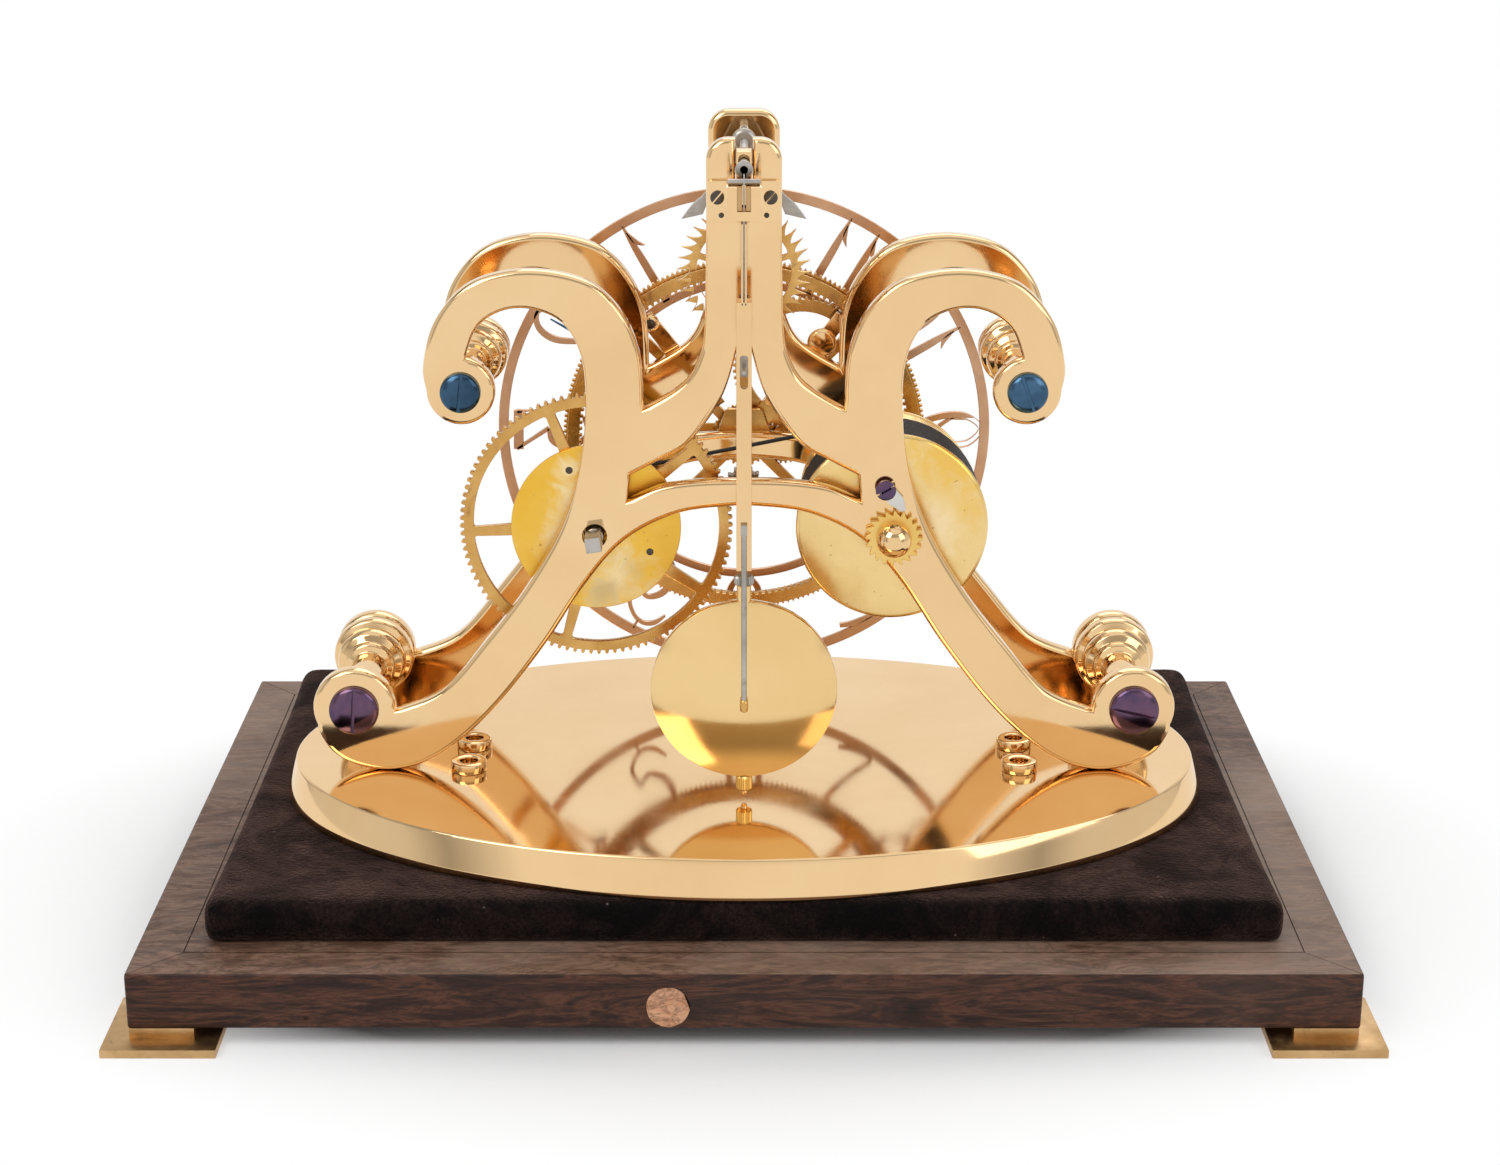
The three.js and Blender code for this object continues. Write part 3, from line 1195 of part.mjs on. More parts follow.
// Back cock with a slotted arm, a lug in the tongue's slot for the pallet arbor, and its two screws
function buildCock() {
  const lugFoot = cockLowerHeight + cockHeight / 2;
  const plate = box(cockWidth, cockThickness, cockHeight, 0, -cockThickness / 2, lugFoot);
  const armMiddle = cockArmLower + cockArmHeight / 2;
  const armY = -cockThickness - cockArmLength / 2;
  const arm = box(cockArmWidth, cockArmLength, cockArmHeight, 0, armY, armMiddle);
  const root = box(cockArmWidth, cockThickness, cockArmHeight, 0, -cockThickness / 2, armMiddle);
  const lugOuter = box(cockLugWidth, cockThickness, cockLugTop - lugFoot, 0, -cockThickness / 2,
    (cockLugTop + lugFoot) / 2);
  const lugInnerFoot = plateHeight - tongueSlotDepth + runningGap;
  const lugInner = box(cockLugWidth, cockLugDepth + seatGap, cockLugTop - lugInnerFoot, 0, cockLugDepth / 2,
    (cockLugTop + lugInnerFoot) / 2);
  const slot = box(cockArmSlotWidth, cockArmSlotLength, cockArmHeight + 2 * cutOverrun, 0,
    -cockThickness - cockArmSlotStart - cockArmSlotLength / 2, armMiddle);
  const springRoom = springDepth + 2 * runningGap;
  const chops = box(chopSlotWidth, springRoom, cockArmHeight + 2 * cutOverrun,
    0, -pendulumSetback, armMiddle);
  const pivot = roundBar(palletArborRadius + runningGap, cockThickness + cockLugDepth + 2 * cutOverrun)
    .translate(0, -cockThickness - cutOverrun, palletHeight);
  const holeLength = cockThickness + 2 * cutOverrun;
  const screwHoles = [-1, 1].map((side) => roundBar(cockScrewShank + seatGap, holeLength)
    .translate(side * cockScrewX, -cockThickness - cutOverrun, cockScrewHeight));
  const cock = cut(joined(plate, arm, root, lugOuter, lugInner), slot, chops, pivot, ...screwHoles);
  addPiece("back_cock", cock, polishedBrass, [0, rearPlateY, plateFoot]);
  const headTop = -cockThickness - cockScrewHead;
  const head = [[0, 0], [cockScrewShank, 0], [cockScrewShank, -cockThickness],
    [cockScrewRadius, -cockThickness], [cockScrewRadius, headTop], [0, headTop]];
  const driver = box(2 * cockScrewRadius + cutOverrun, cockScrewHead, cockScrewSlotWidth, 0, headTop, 0);
  for (const [side, sign, turn] of [["left", -1, -0.7], ["right", 1, -0.75]]) {
    addPiece(`cock_screw_${side}`, cut(turned(head, 12), driver), bluedSteel,
      [sign * cockScrewX, rearPlateY, plateFoot + cockScrewHeight], turn);
  }
  const pinHeight = cockArmTop + crossPinRadius;
  const pin = roundBar(crossPinRadius, crossPinLength, 12)
    .rotateZ(Math.PI / 2)
    .translate(crossPinLength / 2, 0, 0);
  addPiece("cross_pin", pin, greySteel, [0, pendulumY, plateFoot + pinHeight]);
  const springTop = pinHeight + springEyeMargin;
  const spring = box(springThickness, springDepth, springTop - springLowerHeight, 0, 0,
    (springTop + springLowerHeight) / 2);
  const eye = roundBar(crossPinRadius + runningGap, 2 * cutOverrun, 12).rotateZ(Math.PI / 2)
    .translate(cutOverrun, 0, pinHeight);
  addPiece("suspension_spring", cut(spring, eye), greySteel, [0, pendulumY, plateFoot]);
}

// Pendulum: neck slit for the spring, flat rod, collar, thread through the bob, rating nut and guard rod
function buildPendulum() {
  const neckHeight = rodNeckTop - rodTop;
  const neck = box(rodNeckWidth, rodNeckDepth, neckHeight, 0, 0, rodTop + neckHeight / 2);
  const blade = box(rodWidth, rodThickness, rodTop - rodBottom, 0, 0, (rodTop + rodBottom) / 2);
  const shoulder = box(rodWidth, rodNeckDepth, rodThickness, 0, 0, rodTop - rodThickness / 2);
  const screwFoot = bobHeight - bobRadius - ratingNutHeight - threadLower;
  const threadTop = rodBottom + threadRadius;
  const thread = turnedUpright([[0, screwFoot], [threadRadius, screwFoot], [threadRadius, threadTop],
    [0, threadTop]], 10);
  const slitTop = rodNeckTop + cutOverrun;
  const slit = box(springThickness + 2 * seatGap, springDepth + 2 * seatGap,
    slitTop - springLowerHeight, 0, 0, (slitTop + springLowerHeight) / 2 - seatGap);
  const slot = box(rodSlotWidth, rodThickness + 2 * cutOverrun, rodSlotHeight, 0, 0,
    rodSlotLower + rodSlotHeight / 2);
  const rod = cut(joined(neck, blade, shoulder, thread), slit, slot);
  addPiece("pendulum_rod", rod, polishedBrass, [0, pendulumY, plateFoot]);
  const bore = threadRadius + seatGap;
  const collarProfile = [[bore, 0], [collarRadius, 0], [collarRadius, collarHeight], [bore, collarHeight],
    [bore, 0]];
  const collarPlace = [0, pendulumY, plateFoot + collarLower];
  addPiece("rod_collar", turnedUpright(collarProfile, 14), greySteel, collarPlace);
  const bobProfile = [];
  const sagitta = bobHalfThickness - bobRimHalfThickness;
  const dome = (bobRadius ** 2 + sagitta ** 2) / (2 * sagitta);
  for (let i = 0; i <= bobSamples; i += 1) {
    const r = bobRadius * Math.sin(Math.PI / 2 * i / bobSamples);
    bobProfile.push([r, bobHalfThickness - dome + Math.sqrt(dome ** 2 - r ** 2)]);
  }
  const backProfile = bobProfile.map(([r, y]) => [r, -y]).reverse();
  const lens = turned([...bobProfile, ...backProfile], bobSides);
  const fittingFoot = fittingLower - bobHeight - bobHalfThickness;
  const fittingTop = collarLower - bobHeight;
  const fitting = turnedUpright([[0, fittingFoot], [fittingRadius, fittingFoot],
    [fittingRadius, fittingTop], [0, fittingTop]], 12);
  const boreFoot = -bobRadius - cutOverrun;
  const boreTop = fittingTop + cutOverrun;
  const threadBore = threadRadius + runningGap;
  const bobBore = turnedUpright([[0, boreFoot], [threadBore, boreFoot], [threadBore, boreTop],
    [0, boreTop]], 10);
  addPiece("bob", cut(joined(lens, fitting), bobBore), polishedBrass, [0, pendulumY, bobZ]);
  const nutTop = bobHeight - bobRadius;
  const nutFoot = nutTop - ratingNutHeight;
  const nutProfile = [[bore, nutFoot], [ratingNutRadius - ratingNutEdge, nutFoot],
    [ratingNutRadius, nutFoot + ratingNutEdge], [ratingNutRadius, nutTop], [bore, nutTop], [bore, nutFoot]];
  addPiece("rating_nut", turnedUpright(nutProfile, 12), satinBrass, [0, pendulumY, plateFoot]);
  const top = new THREE.Vector3(0, -rodThickness / 2 - guardRodRadius, guardRodTop);
  const bottom = new THREE.Vector3(0, top.y - guardRodLean, guardRodBottom);
  const guard = sweptTube([top, bottom], guardRodRadius, 6);
  const ball = new THREE.SphereGeometry(guardBallRadius, 8, 5).translate(0, bottom.y, bottom.z);
  const clip = box(crutchWidth, 2 * guardRodRadius, guardClipHeight, 0, top.y, guardRodTop);
  addPiece("guard_rod", joined(guard, ball, clip), greySteel, [0, pendulumY, plateFoot]);
}

// A stroke of a numeral: a bent bar of even width
function strokeShape(points, width) {
  const normals = points.map((point, i) => {
    const back = points[Math.max(i - 1, 0)];
    const next = points[Math.min(i + 1, points.length - 1)];
    const along = next.clone().sub(back).normalize();
    return new THREE.Vector2(-along.y, along.x).multiplyScalar(width / 2);
  });
  const left = points.map((point, i) => point.clone().add(normals[i]));
  const right = points.map((point, i) => point.clone().sub(normals[i])).reverse();
  return new THREE.Shape([...right.reverse(), ...left.reverse()]);
}

// Digits of one hour, their feet towards the centre, read from the dial side
function numeralSolids(hour) {
  const digits = String(hour).split("");
  const low = dialInnerRadius + dialInnerRimWidth;
  const high = dialRadius - dialRimWidth;
  const angle = Math.PI / 6 * hour;
  const up = new THREE.Vector2(-Math.sin(angle), Math.cos(angle));
  const right = new THREE.Vector2(-Math.cos(angle), -Math.sin(angle));
  return digits.flatMap((digit, i) => {
    const width = digits.length > 1 ? numeralWidth * pairWidthShare : numeralWidth;
    const shift = digits.length > 1 ? (i - 0.5) * 2 * pairOffsetShare * numeralWidth : 0;
    return digitStrokeShares[digit].map((stroke) => {
      const points = stroke.map(([u, v]) => up.clone().multiplyScalar(low + v * (high - low))
        .addScaledVector(right, shift + (u - 0.5) * width));
      return slab(strokeShape(points, numeralStroke), dialThickness);
    });
  });
}

function ringSlab(outer, inner, thickness, sides) {
  const outline = arcPoints(0, 0, outer, 0, 2 * Math.PI, sides).slice(0, -1);
  return wheel(outline, thickness, [circlePath(0, 0, inner, sides)]);
}

function buildDial() {
  const outer = ringSlab(dialRadius, dialRadius - dialRimWidth, dialThickness, dialRimSides);
  const inner = ringSlab(dialInnerRadius + dialInnerRimWidth, dialInnerRadius, dialThickness, dialRimSides);
  const hours = Array.from({ length: dialHours }, (_, i) => numeralSolids(i + 1)).flat();
  const footLength = dialY - frontOuterY;
  const feet = dialFootAngles.map((angle) => {
    const place = arcPoints(0, 0, dialFootDistance, angle, angle, 1)[0];
    return roundBar(dialFootRadius, footLength + seatGap, 10).translate(place.x, -footLength, place.y);
  });
  addPiece("chapter_ring", joined(outer, inner, ...hours, ...feet), roseBrass, [0, dialY, centreZ]);
  const reach = dialInnerRadius + dialInnerRimWidth / 2;
  const bar = box(2 * reach, barThickness, barWidth, 0, barThickness / 2, 0);
  const boss = roundBar(barBossRadius, barThickness, 14);
  const stud = roundBar(studRadius, barY - cannonY + seatGap, 10)
    .translate(motionDistance, cannonY - barY, 0);
  const hole = roundBar(hourPipeRadius + runningGap, barThickness + 2 * cutOverrun, 12)
    .translate(0, -cutOverrun, 0);
  addPiece("dial_bar", cut(joined(bar, boss, stud), hole), wheelBrass, [0, barY, centreZ]);
}

// Small wheels of the motion work, plain discs of their pitch size with a running gap
function motionWheel(pitchRadius, thickness, bore, sides = 16) {
  const outline = arcPoints(0, 0, pitchRadius - runningGap / 2, 0, 2 * Math.PI, sides).slice(0, -1);
  return wheel(outline, thickness, [circlePath(0, 0, bore)]);
}

function buildMotionWork() {
  const firstModule = 2 * motionDistance / (cannonTeeth + minuteWheelTeeth);
  const secondModule = 2 * motionDistance / (minutePinionTeeth + hourWheelTeeth);
  const arborBore = boreRadius(centreArborRadius);
  const pinion = motionWheel(firstModule * cannonTeeth / 2, motionThickness, arborBore, 10);
  const pipe = turned([[arborBore, 0], [cannonPipeRadius, 0], [cannonPipeRadius, minuteHandY - cannonY],
    [arborBore, minuteHandY - cannonY], [arborBore, 0]], 10);
  addPiece("cannon_pinion", joined(pinion, pipe), greySteel, [0, cannonY, centreZ]);
  const studBore = studRadius + runningGap;
  const wheelPart = motionWheel(firstModule * minuteWheelTeeth / 2, motionThickness, studBore);
  const pinionLength = layerGap + motionThickness + seatGap;
  const pinionPart = motionWheel(secondModule * minutePinionTeeth / 2, pinionLength, studBore, 12)
    .translate(0, motionThickness - seatGap, 0);
  addPiece("minute_wheel", joined(wheelPart, pinionPart), wheelBrass, [motionDistance, cannonY, centreZ]);
  const pipeBore = cannonPipeRadius + runningGap;
  const hourPart = motionWheel(secondModule * hourWheelTeeth / 2, motionThickness, pipeBore);
  const pipeEnd = hourHandY + handThickness - hourWheelY;
  const hourPipe = turned([[pipeBore, 0], [hourPipeRadius, 0], [hourPipeRadius, pipeEnd],
    [pipeBore, pipeEnd], [pipeBore, 0]], 12);
  addPiece("hour_wheel", joined(hourPart, hourPipe), wheelBrass, [0, hourWheelY, centreZ]);
}

// A blued hand: hub, tapering stem, a loop and a pointed tip
function hand(length, loopRadius, bore) {
  const loopCentre = length * handLoopShare;
  const stem = new THREE.Shape([
    new THREE.Vector2(-handWidth / 2, 0),
    new THREE.Vector2(handWidth / 2, 0),
    new THREE.Vector2(handWidth * handStemShare, loopCentre - loopRadius + loopRim / 2),
    new THREE.Vector2(-handWidth * handStemShare, loopCentre - loopRadius + loopRim / 2),
  ]);
  const tip = new THREE.Shape([
    new THREE.Vector2(-handWidth / 2, loopCentre + loopRadius - loopRim / 2),
    new THREE.Vector2(handWidth / 2, loopCentre + loopRadius - loopRim / 2),
    new THREE.Vector2(handWidth * handTipShare, length),
    new THREE.Vector2(-handWidth * handTipShare, length),
  ]);
  const loop = ringSlab(loopRadius, loopRadius - loopRim, handThickness, 10).translate(0, 0, loopCentre);
  const hub = roundBar(handHubRadius, handThickness);
  const hole = roundBar(bore, handThickness + 2 * cutOverrun).translate(0, -cutOverrun, 0);
  return cut(joined(slab(stem, handThickness), slab(tip, handThickness), loop, hub), hole);
}

function buildHands() {
  const minute = hand(minuteHandLength, minuteLoopRadius, boreRadius(pivotRadius));
  addPiece("minute_hand", minute, bluedSteel, [0, minuteHandY, centreZ], -minuteHandAngle);
  const hour = hand(hourHandLength, hourLoopRadius, boreRadius(hourPipeRadius));
  addPiece("hour_hand", hour, bluedSteel, [0, hourHandY, centreZ], -hourHandAngle);
}

buildFeet();
buildPlinth();
buildPad();
buildBase();
buildPlates();
buildPillars();
buildGreatWheel();
buildFusee();
buildBarrel();
buildClick();
buildLine();
buildCentre();
buildEpicyclic();
buildEscapement();
buildCock();
buildPendulum();
buildDial();
buildMotionWork();
buildHands();

export default clock;
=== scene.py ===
import json
import math

import bmesh
import bpy
import numpy as np
from mathutils import Matrix, Vector

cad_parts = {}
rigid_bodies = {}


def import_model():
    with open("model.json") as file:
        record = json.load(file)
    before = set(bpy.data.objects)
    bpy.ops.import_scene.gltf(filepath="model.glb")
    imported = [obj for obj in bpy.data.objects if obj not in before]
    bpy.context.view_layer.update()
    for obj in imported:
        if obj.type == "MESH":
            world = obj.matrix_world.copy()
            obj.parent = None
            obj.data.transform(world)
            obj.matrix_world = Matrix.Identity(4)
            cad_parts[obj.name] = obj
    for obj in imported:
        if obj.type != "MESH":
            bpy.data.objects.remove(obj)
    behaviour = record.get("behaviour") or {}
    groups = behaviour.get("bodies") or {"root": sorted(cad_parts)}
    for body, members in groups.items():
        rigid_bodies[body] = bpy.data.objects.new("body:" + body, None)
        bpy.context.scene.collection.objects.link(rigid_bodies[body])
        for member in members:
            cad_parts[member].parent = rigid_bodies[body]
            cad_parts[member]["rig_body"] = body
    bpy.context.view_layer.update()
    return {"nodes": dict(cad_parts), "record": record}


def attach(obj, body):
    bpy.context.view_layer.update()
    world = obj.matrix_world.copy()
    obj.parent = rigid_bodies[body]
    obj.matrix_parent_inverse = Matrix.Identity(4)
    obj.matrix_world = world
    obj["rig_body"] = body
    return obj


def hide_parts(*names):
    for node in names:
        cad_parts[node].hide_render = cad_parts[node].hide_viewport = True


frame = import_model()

MM = 0.001
SLOTS = {row["node"]: row["material_slot"] for row in frame["record"]["subparts"]}

# Sizes in millimetres, the same as in the part's source
PLATE_FOOT = 44.55
PLATE_SPAN = 125
PLATE_HEIGHT = 185
PLATE_THICKNESS = 6
REAR_Y = -25.5
REAR_INNER_Y = -19.5
FRONT_INNER_Y = 24.5
FRONT_OUTER_Y = 30.5
CENTRE_Z = 128.55
CENTRE = (0, CENTRE_Z)
SIDE_X = 42.5
SIDE_Z = 116.55
ESCAPE_Z = 186.115
PALLET_Z = 223.55
PENDULUM_Y = -46
COCK_Y = REAR_Y - 2
BOB_Z = 78.15
GREAT_PITCH = 38.92
PINION_PITCH = 5.24
ANNULUS_PITCH = 49.4
RING_PITCH = 54.7
PLANET_ANGLE = math.radians(53)
GREAT_RISE = GREAT_PITCH / 104
ANNULUS_RISE = ANNULUS_PITCH / 156
RING_RISE = RING_PITCH / 210
PLANET_PITCH = ANNULUS_PITCH * 65 / 156
PLANET_ORBIT = ANNULUS_PITCH - PLANET_PITCH
SUN_PITCH = ANNULUS_PITCH * 26 / 156
PLANET_ARM_Y = 32.8
ANNULUS_Y = 34.5
RING_Y = 36.8
CANNON_Y = 39.3
HOUR_WHEEL_Y = 41.1
BAR_Y = 42.9
DIAL_Y = 44.3
DIAL_BACK = DIAL_Y + 1.5
HOUR_HAND_Y = 46.3
MINUTE_HAND_Y = 48.0
UPPER_EYE = (79.3, 114.1, 9.6)
FOOT_EYE = (113.2, 19.1, 12.0)
SMOOTH_ANGLE = math.radians(38)
PEN_WIDTH = 1.62


# The camera, with lengths in pixels of a picture 1500 wide, and the studio
SENSOR = 36
PHOTO_WIDTH = 1500
LENS_PIXELS = 2776
SHIFT_PIXELS = 6
LOOK_DOWN = 18.48
FADE_REACH = (0.18, 0.25)
LAMPS = (("key", (-0.9, -0.8, 1.3), 0.9, 9), ("fill", (1.1, -0.7, 0.9), 0.9, 4),
         ("back", (0.2, 1.2, 1.2), 1.0, 5))
SIDES = (("left", -1), ("right", 1))


# Outlines: lists of (x, z) points
def polar(radius, angle):
    return radius * math.cos(angle), radius * math.sin(angle)


def arc(x, z, radius, start, end, steps):
    return [(x + radius * math.cos(start + (end - start) * i / steps),
             z + radius * math.sin(start + (end - start) * i / steps)) for i in range(steps + 1)]


def circle(x, z, radius, sides=48):
    return arc(x, z, radius, 0, 2 * math.pi, sides)[:-1]


def spline(pairs, per=6):
    points = [Vector(p) for p in pairs]
    last = len(points) - 1
    out = []
    for i in range(last):
        p0, p1, p2, p3 = points[max(i - 1, 0)], points[i], points[i + 1], points[min(i + 2, last)]
        v0, v1 = (p2 - p0) / 2, (p3 - p1) / 2
        cubic, square = 2 * p1 - 2 * p2 + v0 + v1, 3 * p2 - 3 * p1 - 2 * v0 - v1
        for k in range(per):
            t = k / per
            out.append(cubic * t ** 3 + square * t ** 2 + v0 * t + p1)
    out.append(points[last])
    return [tuple(p) for p in out]


def mirrored(half):
    both = list(half) + [(-x, z) for x, z in reversed(half)]
    return [p for i, p in enumerate(both) if math.dist(p, both[i - 1]) > 0.02]


def teeth(count, tip, root, tip_share=0.22, flank_share=0.46, root_share=0.56, turn=0.0):
    """Wheel teeth with round-shouldered tips: a few points a tooth."""
    pitch = 2 * math.pi / count
    rise = tip - root
    shape = [(-root_share / 2, 0), (-flank_share / 2, 0.55), (-tip_share / 2, 0.9), (0, 1),
             (tip_share / 2, 0.9), (flank_share / 2, 0.55), (root_share / 2, 0)]
    return [polar(root + up * rise, turn + (i + share) * pitch) for i in range(count) for share, up in shape]


def gear(count, pitch, rise, depth, turn, flank_share=0.42):
    """Teeth that rise by a length above the pitch circle and go down by a multiple of it."""
    return teeth(count, pitch + rise, pitch - depth * rise, 0.2, flank_share, 0.5, turn)


def spun_teeth(count, shape):
    """Teeth whose points are given as a share of the pitch and a radius."""
    pitch = 2 * math.pi / count
    return [polar(radius, (i + share) * pitch) for i in range(count) for share, radius in shape]


def spoke_openings(count, hub, rim, width, turn=0.0, steps=14, taper=1.0):
    """Openings between spokes, with small rounds where a spoke meets the rim and the hub."""
    out = []
    for i in range(count):
        start = turn + 2 * math.pi * i / count
        end = start + 2 * math.pi / count
        outer_trim = math.asin(width * taper / 2 / rim)
        inner_trim = math.asin(width / 2 / hub)
        loop = arc(0, 0, rim, start + outer_trim, end - outer_trim, steps)
        loop += arc(0, 0, hub, end - inner_trim, start + inner_trim, max(3, steps // 3))
        out.append(rounded(loop, 1.1))
    return out


def rounded(loop, radius, sharp=math.radians(35)):
    """The loop with its sharp corners rounded."""
    out = []
    count = len(loop)
    for i in range(count):
        p, a, b = Vector(loop[i]), Vector(loop[i - 1]), Vector(loop[(i + 1) % count])
        before, after = a - p, b - p
        if before.length < 1e-6 or after.length < 1e-6 or math.pi - before.angle(after) < sharp:
            out.append(tuple(p))
            continue
        reach = min(radius, before.length * 0.45, after.length * 0.45)
        start, end = p + before.normalized() * reach, p + after.normalized() * reach
        out += [corner(start, p, end, t) for t in (0, 0.25, 0.5, 0.75, 1)]
    return out


def stroke(points, widths):
    """The outline of a pen stroke along the points, its width given at each point."""
    pts = [Vector(p) for p in points]
    left, right = [], []
    for i, p in enumerate(pts):
        along = (pts[min(i + 1, len(pts) - 1)] - pts[max(i - 1, 0)]).normalized()
        side = Vector((-along.y, along.x)) * widths[i] / 2
        left.append(tuple(p + side))
        right.append(tuple(p - side))
    return left + right[::-1]


# Meshes
def link(name, data):
    obj = bpy.data.objects.new(name, data)
    bpy.context.scene.collection.objects.link(obj)
    return obj


def finish_mesh(mesh, flat_axis=None, angle=SMOOTH_ANGLE):
    bm = bmesh.new()
    bm.from_mesh(mesh)
    bmesh.ops.remove_doubles(bm, verts=bm.verts, dist=2e-6)
    bmesh.ops.dissolve_degenerate(bm, edges=bm.edges, dist=1e-7)
    bmesh.ops.recalc_face_normals(bm, faces=bm.faces)
    bm.normal_update()
    for face in bm.faces:
        face.smooth = flat_axis is None or abs(face.normal[flat_axis]) < 0.999
    for edge in bm.edges:
        edge.smooth = edge.is_manifold and edge.calc_face_angle(0) < angle
    bm.to_mesh(mesh)
    bm.free()
    return mesh


def object_from(name, verts, faces, flat_axis=None, angle=SMOOTH_ANGLE):
    mesh = bpy.data.meshes.new(name)
    mesh.from_pydata([tuple(c * MM for c in v) for v in verts], [], faces)
    finish_mesh(mesh, flat_axis, angle)
    return link(name, mesh)


def ring_faces(rows, count):
    """Faces between closed rows of points, with a cap at each end."""
    faces = []
    for row in range(rows - 1):
        for k in range(count):
            a, b = row * count + k, row * count + (k + 1) % count
            faces.append((a, b, b + count, a + count))
    return faces + [tuple(range(count))[::-1], tuple(range((rows - 1) * count, rows * count))]


def evaluated(obj):
    bpy.context.view_layer.update()
    return bpy.data.meshes.new_from_object(obj.evaluated_get(bpy.context.evaluated_depsgraph_get()))


def baked(obj):
    """The object with its modifiers applied."""
    mesh = evaluated(obj)
    mesh.name = name = obj.name
    mesh.transform(obj.matrix_world.copy())
    mesh.materials.clear()
    bpy.data.objects.remove(obj)
    return link(name, mesh)


def flat(name, loops, y0, y1, edge=0.2, rounds=1, at=(0, 0), turn=0.0):
    """Loops in X and Z, extruded from y0 to y1 with eased edges: an outline, then any holes."""
    curve = bpy.data.curves.new(name, "CURVE")
    curve.dimensions = "2D"
    curve.fill_mode = "BOTH"
    curve.extrude = (y1 - y0) / 2 - edge
    curve.bevel_depth = edge
    curve.bevel_resolution = rounds
    curve.offset = -edge
    for loop in loops:
        line = curve.splines.new("POLY")
        line.points.add(len(loop) - 1)
        line.points.foreach_set("co", [c for x, z in loop for c in (x, z, 0, 1)])
        line.use_cyclic_u = True
    obj = link(name, curve)
    mesh = evaluated(obj)
    bpy.data.objects.remove(obj)
    c, s = math.cos(turn), math.sin(turn)
    for v in mesh.vertices:
        x, z, y = v.co
        v.co = ((at[0] + x * c + z * s) * MM, ((y0 + y1) / 2 + y) * MM, (at[1] - x * s + z * c) * MM)
    finish_mesh(mesh, 1)
    mesh.materials.clear()
    return link(name, mesh)


def corner(start, middle, end, t):
    """A point of the round that takes a corner's place."""
    return tuple(start * (1 - t) ** 2 + middle * 2 * t * (1 - t) + end * t * t)


def eased(profile, reach):
    """A profile with its corners rounded, apart from its ends."""
    pts = [Vector(p) for p in profile]
    out = [profile[0]]
    for i in range(1, len(pts) - 1):
        p, before, after = pts[i], pts[i - 1] - pts[i], pts[i + 1] - pts[i]
        r = min(reach, before.length * 0.45, after.length * 0.45)
        if r < 1e-4 or math.pi - before.angle(after) < math.radians(12):
            out.append(tuple(p))
            continue
        start, end = p + before.normalized() * r, p + after.normalized() * r
        out += [corner(start, p, end, k / 3) for k in range(4)]
    out.append(profile[-1])
    return out


def bars(start, *parts):
    """The profile of round bars end to end, each with its radius and the level where it ends."""
    out = [(0, start)]
    for radius, end in parts:
        out += [(radius, out[-1][1]), (radius, end)]
    return out + [(0, parts[-1][1])]


def lathe(name, profile, at, sides=72, ease=0.3, angle=SMOOTH_ANGLE, axis="Y"):
    """A profile of (radius, distance) turned about Y or Z through the point at."""
    rows = eased(profile, ease) if ease else profile
    verts, rings = [], []
    for r, d in rows:
        if r < 1e-5:
            rings.append([len(verts)] * sides)
            verts.append((0, 0, d))
            continue
        rings.append(list(range(len(verts), len(verts) + sides)))
        verts += [(*polar(r, 2 * math.pi * k / sides), d) for k in range(sides)]
    faces = []
    for a, b in zip(rings, rings[1:]):
        for k in range(sides):
            n = (k + 1) % sides
            face = list(dict.fromkeys([a[k], a[n], b[n], b[k]]))
            if len(face) > 2:
                faces.append(face)
    if axis == "Y":
        verts = [(x, d, y) for x, y, d in verts]
    verts = [tuple(c + start for c, start in zip(v, at)) for v in verts]
    return object_from(name, verts, faces, None, angle)


def tube(name, centres, radii, sides=12):
    """A round bar along the points, with flat ends and a radius at each point."""
    pts = [Vector(p) for p in centres]
    side = Vector((0.31, 0.87, 0.39))
    verts = []
    for i, p in enumerate(pts):
        along = (pts[min(i + 1, len(pts) - 1)] - pts[max(i - 1, 0)]).normalized()
        side = (side - along * side.dot(along)).normalized()
        across = along.cross(side)
        for k in range(sides):
            a = 2 * math.pi * k / sides
            verts.append(tuple(p + (side * math.cos(a) + across * math.sin(a)) * radii[i]))
    return object_from(name, verts, ring_faces(len(pts), sides), None, math.radians(50))


def block(name, low, high, edge=0.25, segments=2):
    """A bar between two corners with eased edges."""
    bm = bmesh.new()
    bmesh.ops.create_cube(bm, size=1)
    size = Vector(high) - Vector(low)
    middle = (Vector(high) + Vector(low)) / 2
    for v in bm.verts:
        v.co = Vector([middle[i] + v.co[i] * size[i] for i in range(3)]) * MM
    reach = min(edge, min(size) * 0.4) * MM
    bmesh.ops.bevel(bm, geom=bm.edges[:], offset=reach, segments=segments, profile=0.6, affect="EDGES")
    mesh = bpy.data.meshes.new(name)
    bm.to_mesh(mesh)
    bm.free()
    return link(name, finish_mesh(mesh))


def placed(obj, turn, axis, at):
    """The object's mesh turned about an axis, then moved to a place."""
    obj.data.transform(Matrix.Rotation(turn, 4, axis))
    obj.data.transform(Matrix.Translation(Vector(at) * MM))
    return obj


def boolean(obj, tools, operation="DIFFERENCE"):
    for tool in tools:
        change = obj.modifiers.new("change", "BOOLEAN")
        change.operation = operation
        change.solver = "EXACT"
        change.object = tool
        obj = baked(obj)
        bpy.data.objects.remove(tool)
    finish_mesh(obj.data)
    return obj


def merged(name, *objs):
    """Several pieces of one material in one object."""
    bm = bmesh.new()
    for obj in objs:
        obj.data.transform(obj.matrix_world)
        bm.from_mesh(obj.data)
        bpy.data.objects.remove(obj)
    mesh = bpy.data.meshes.new(name)
    bm.to_mesh(mesh)
    bm.free()
    return link(name, mesh)


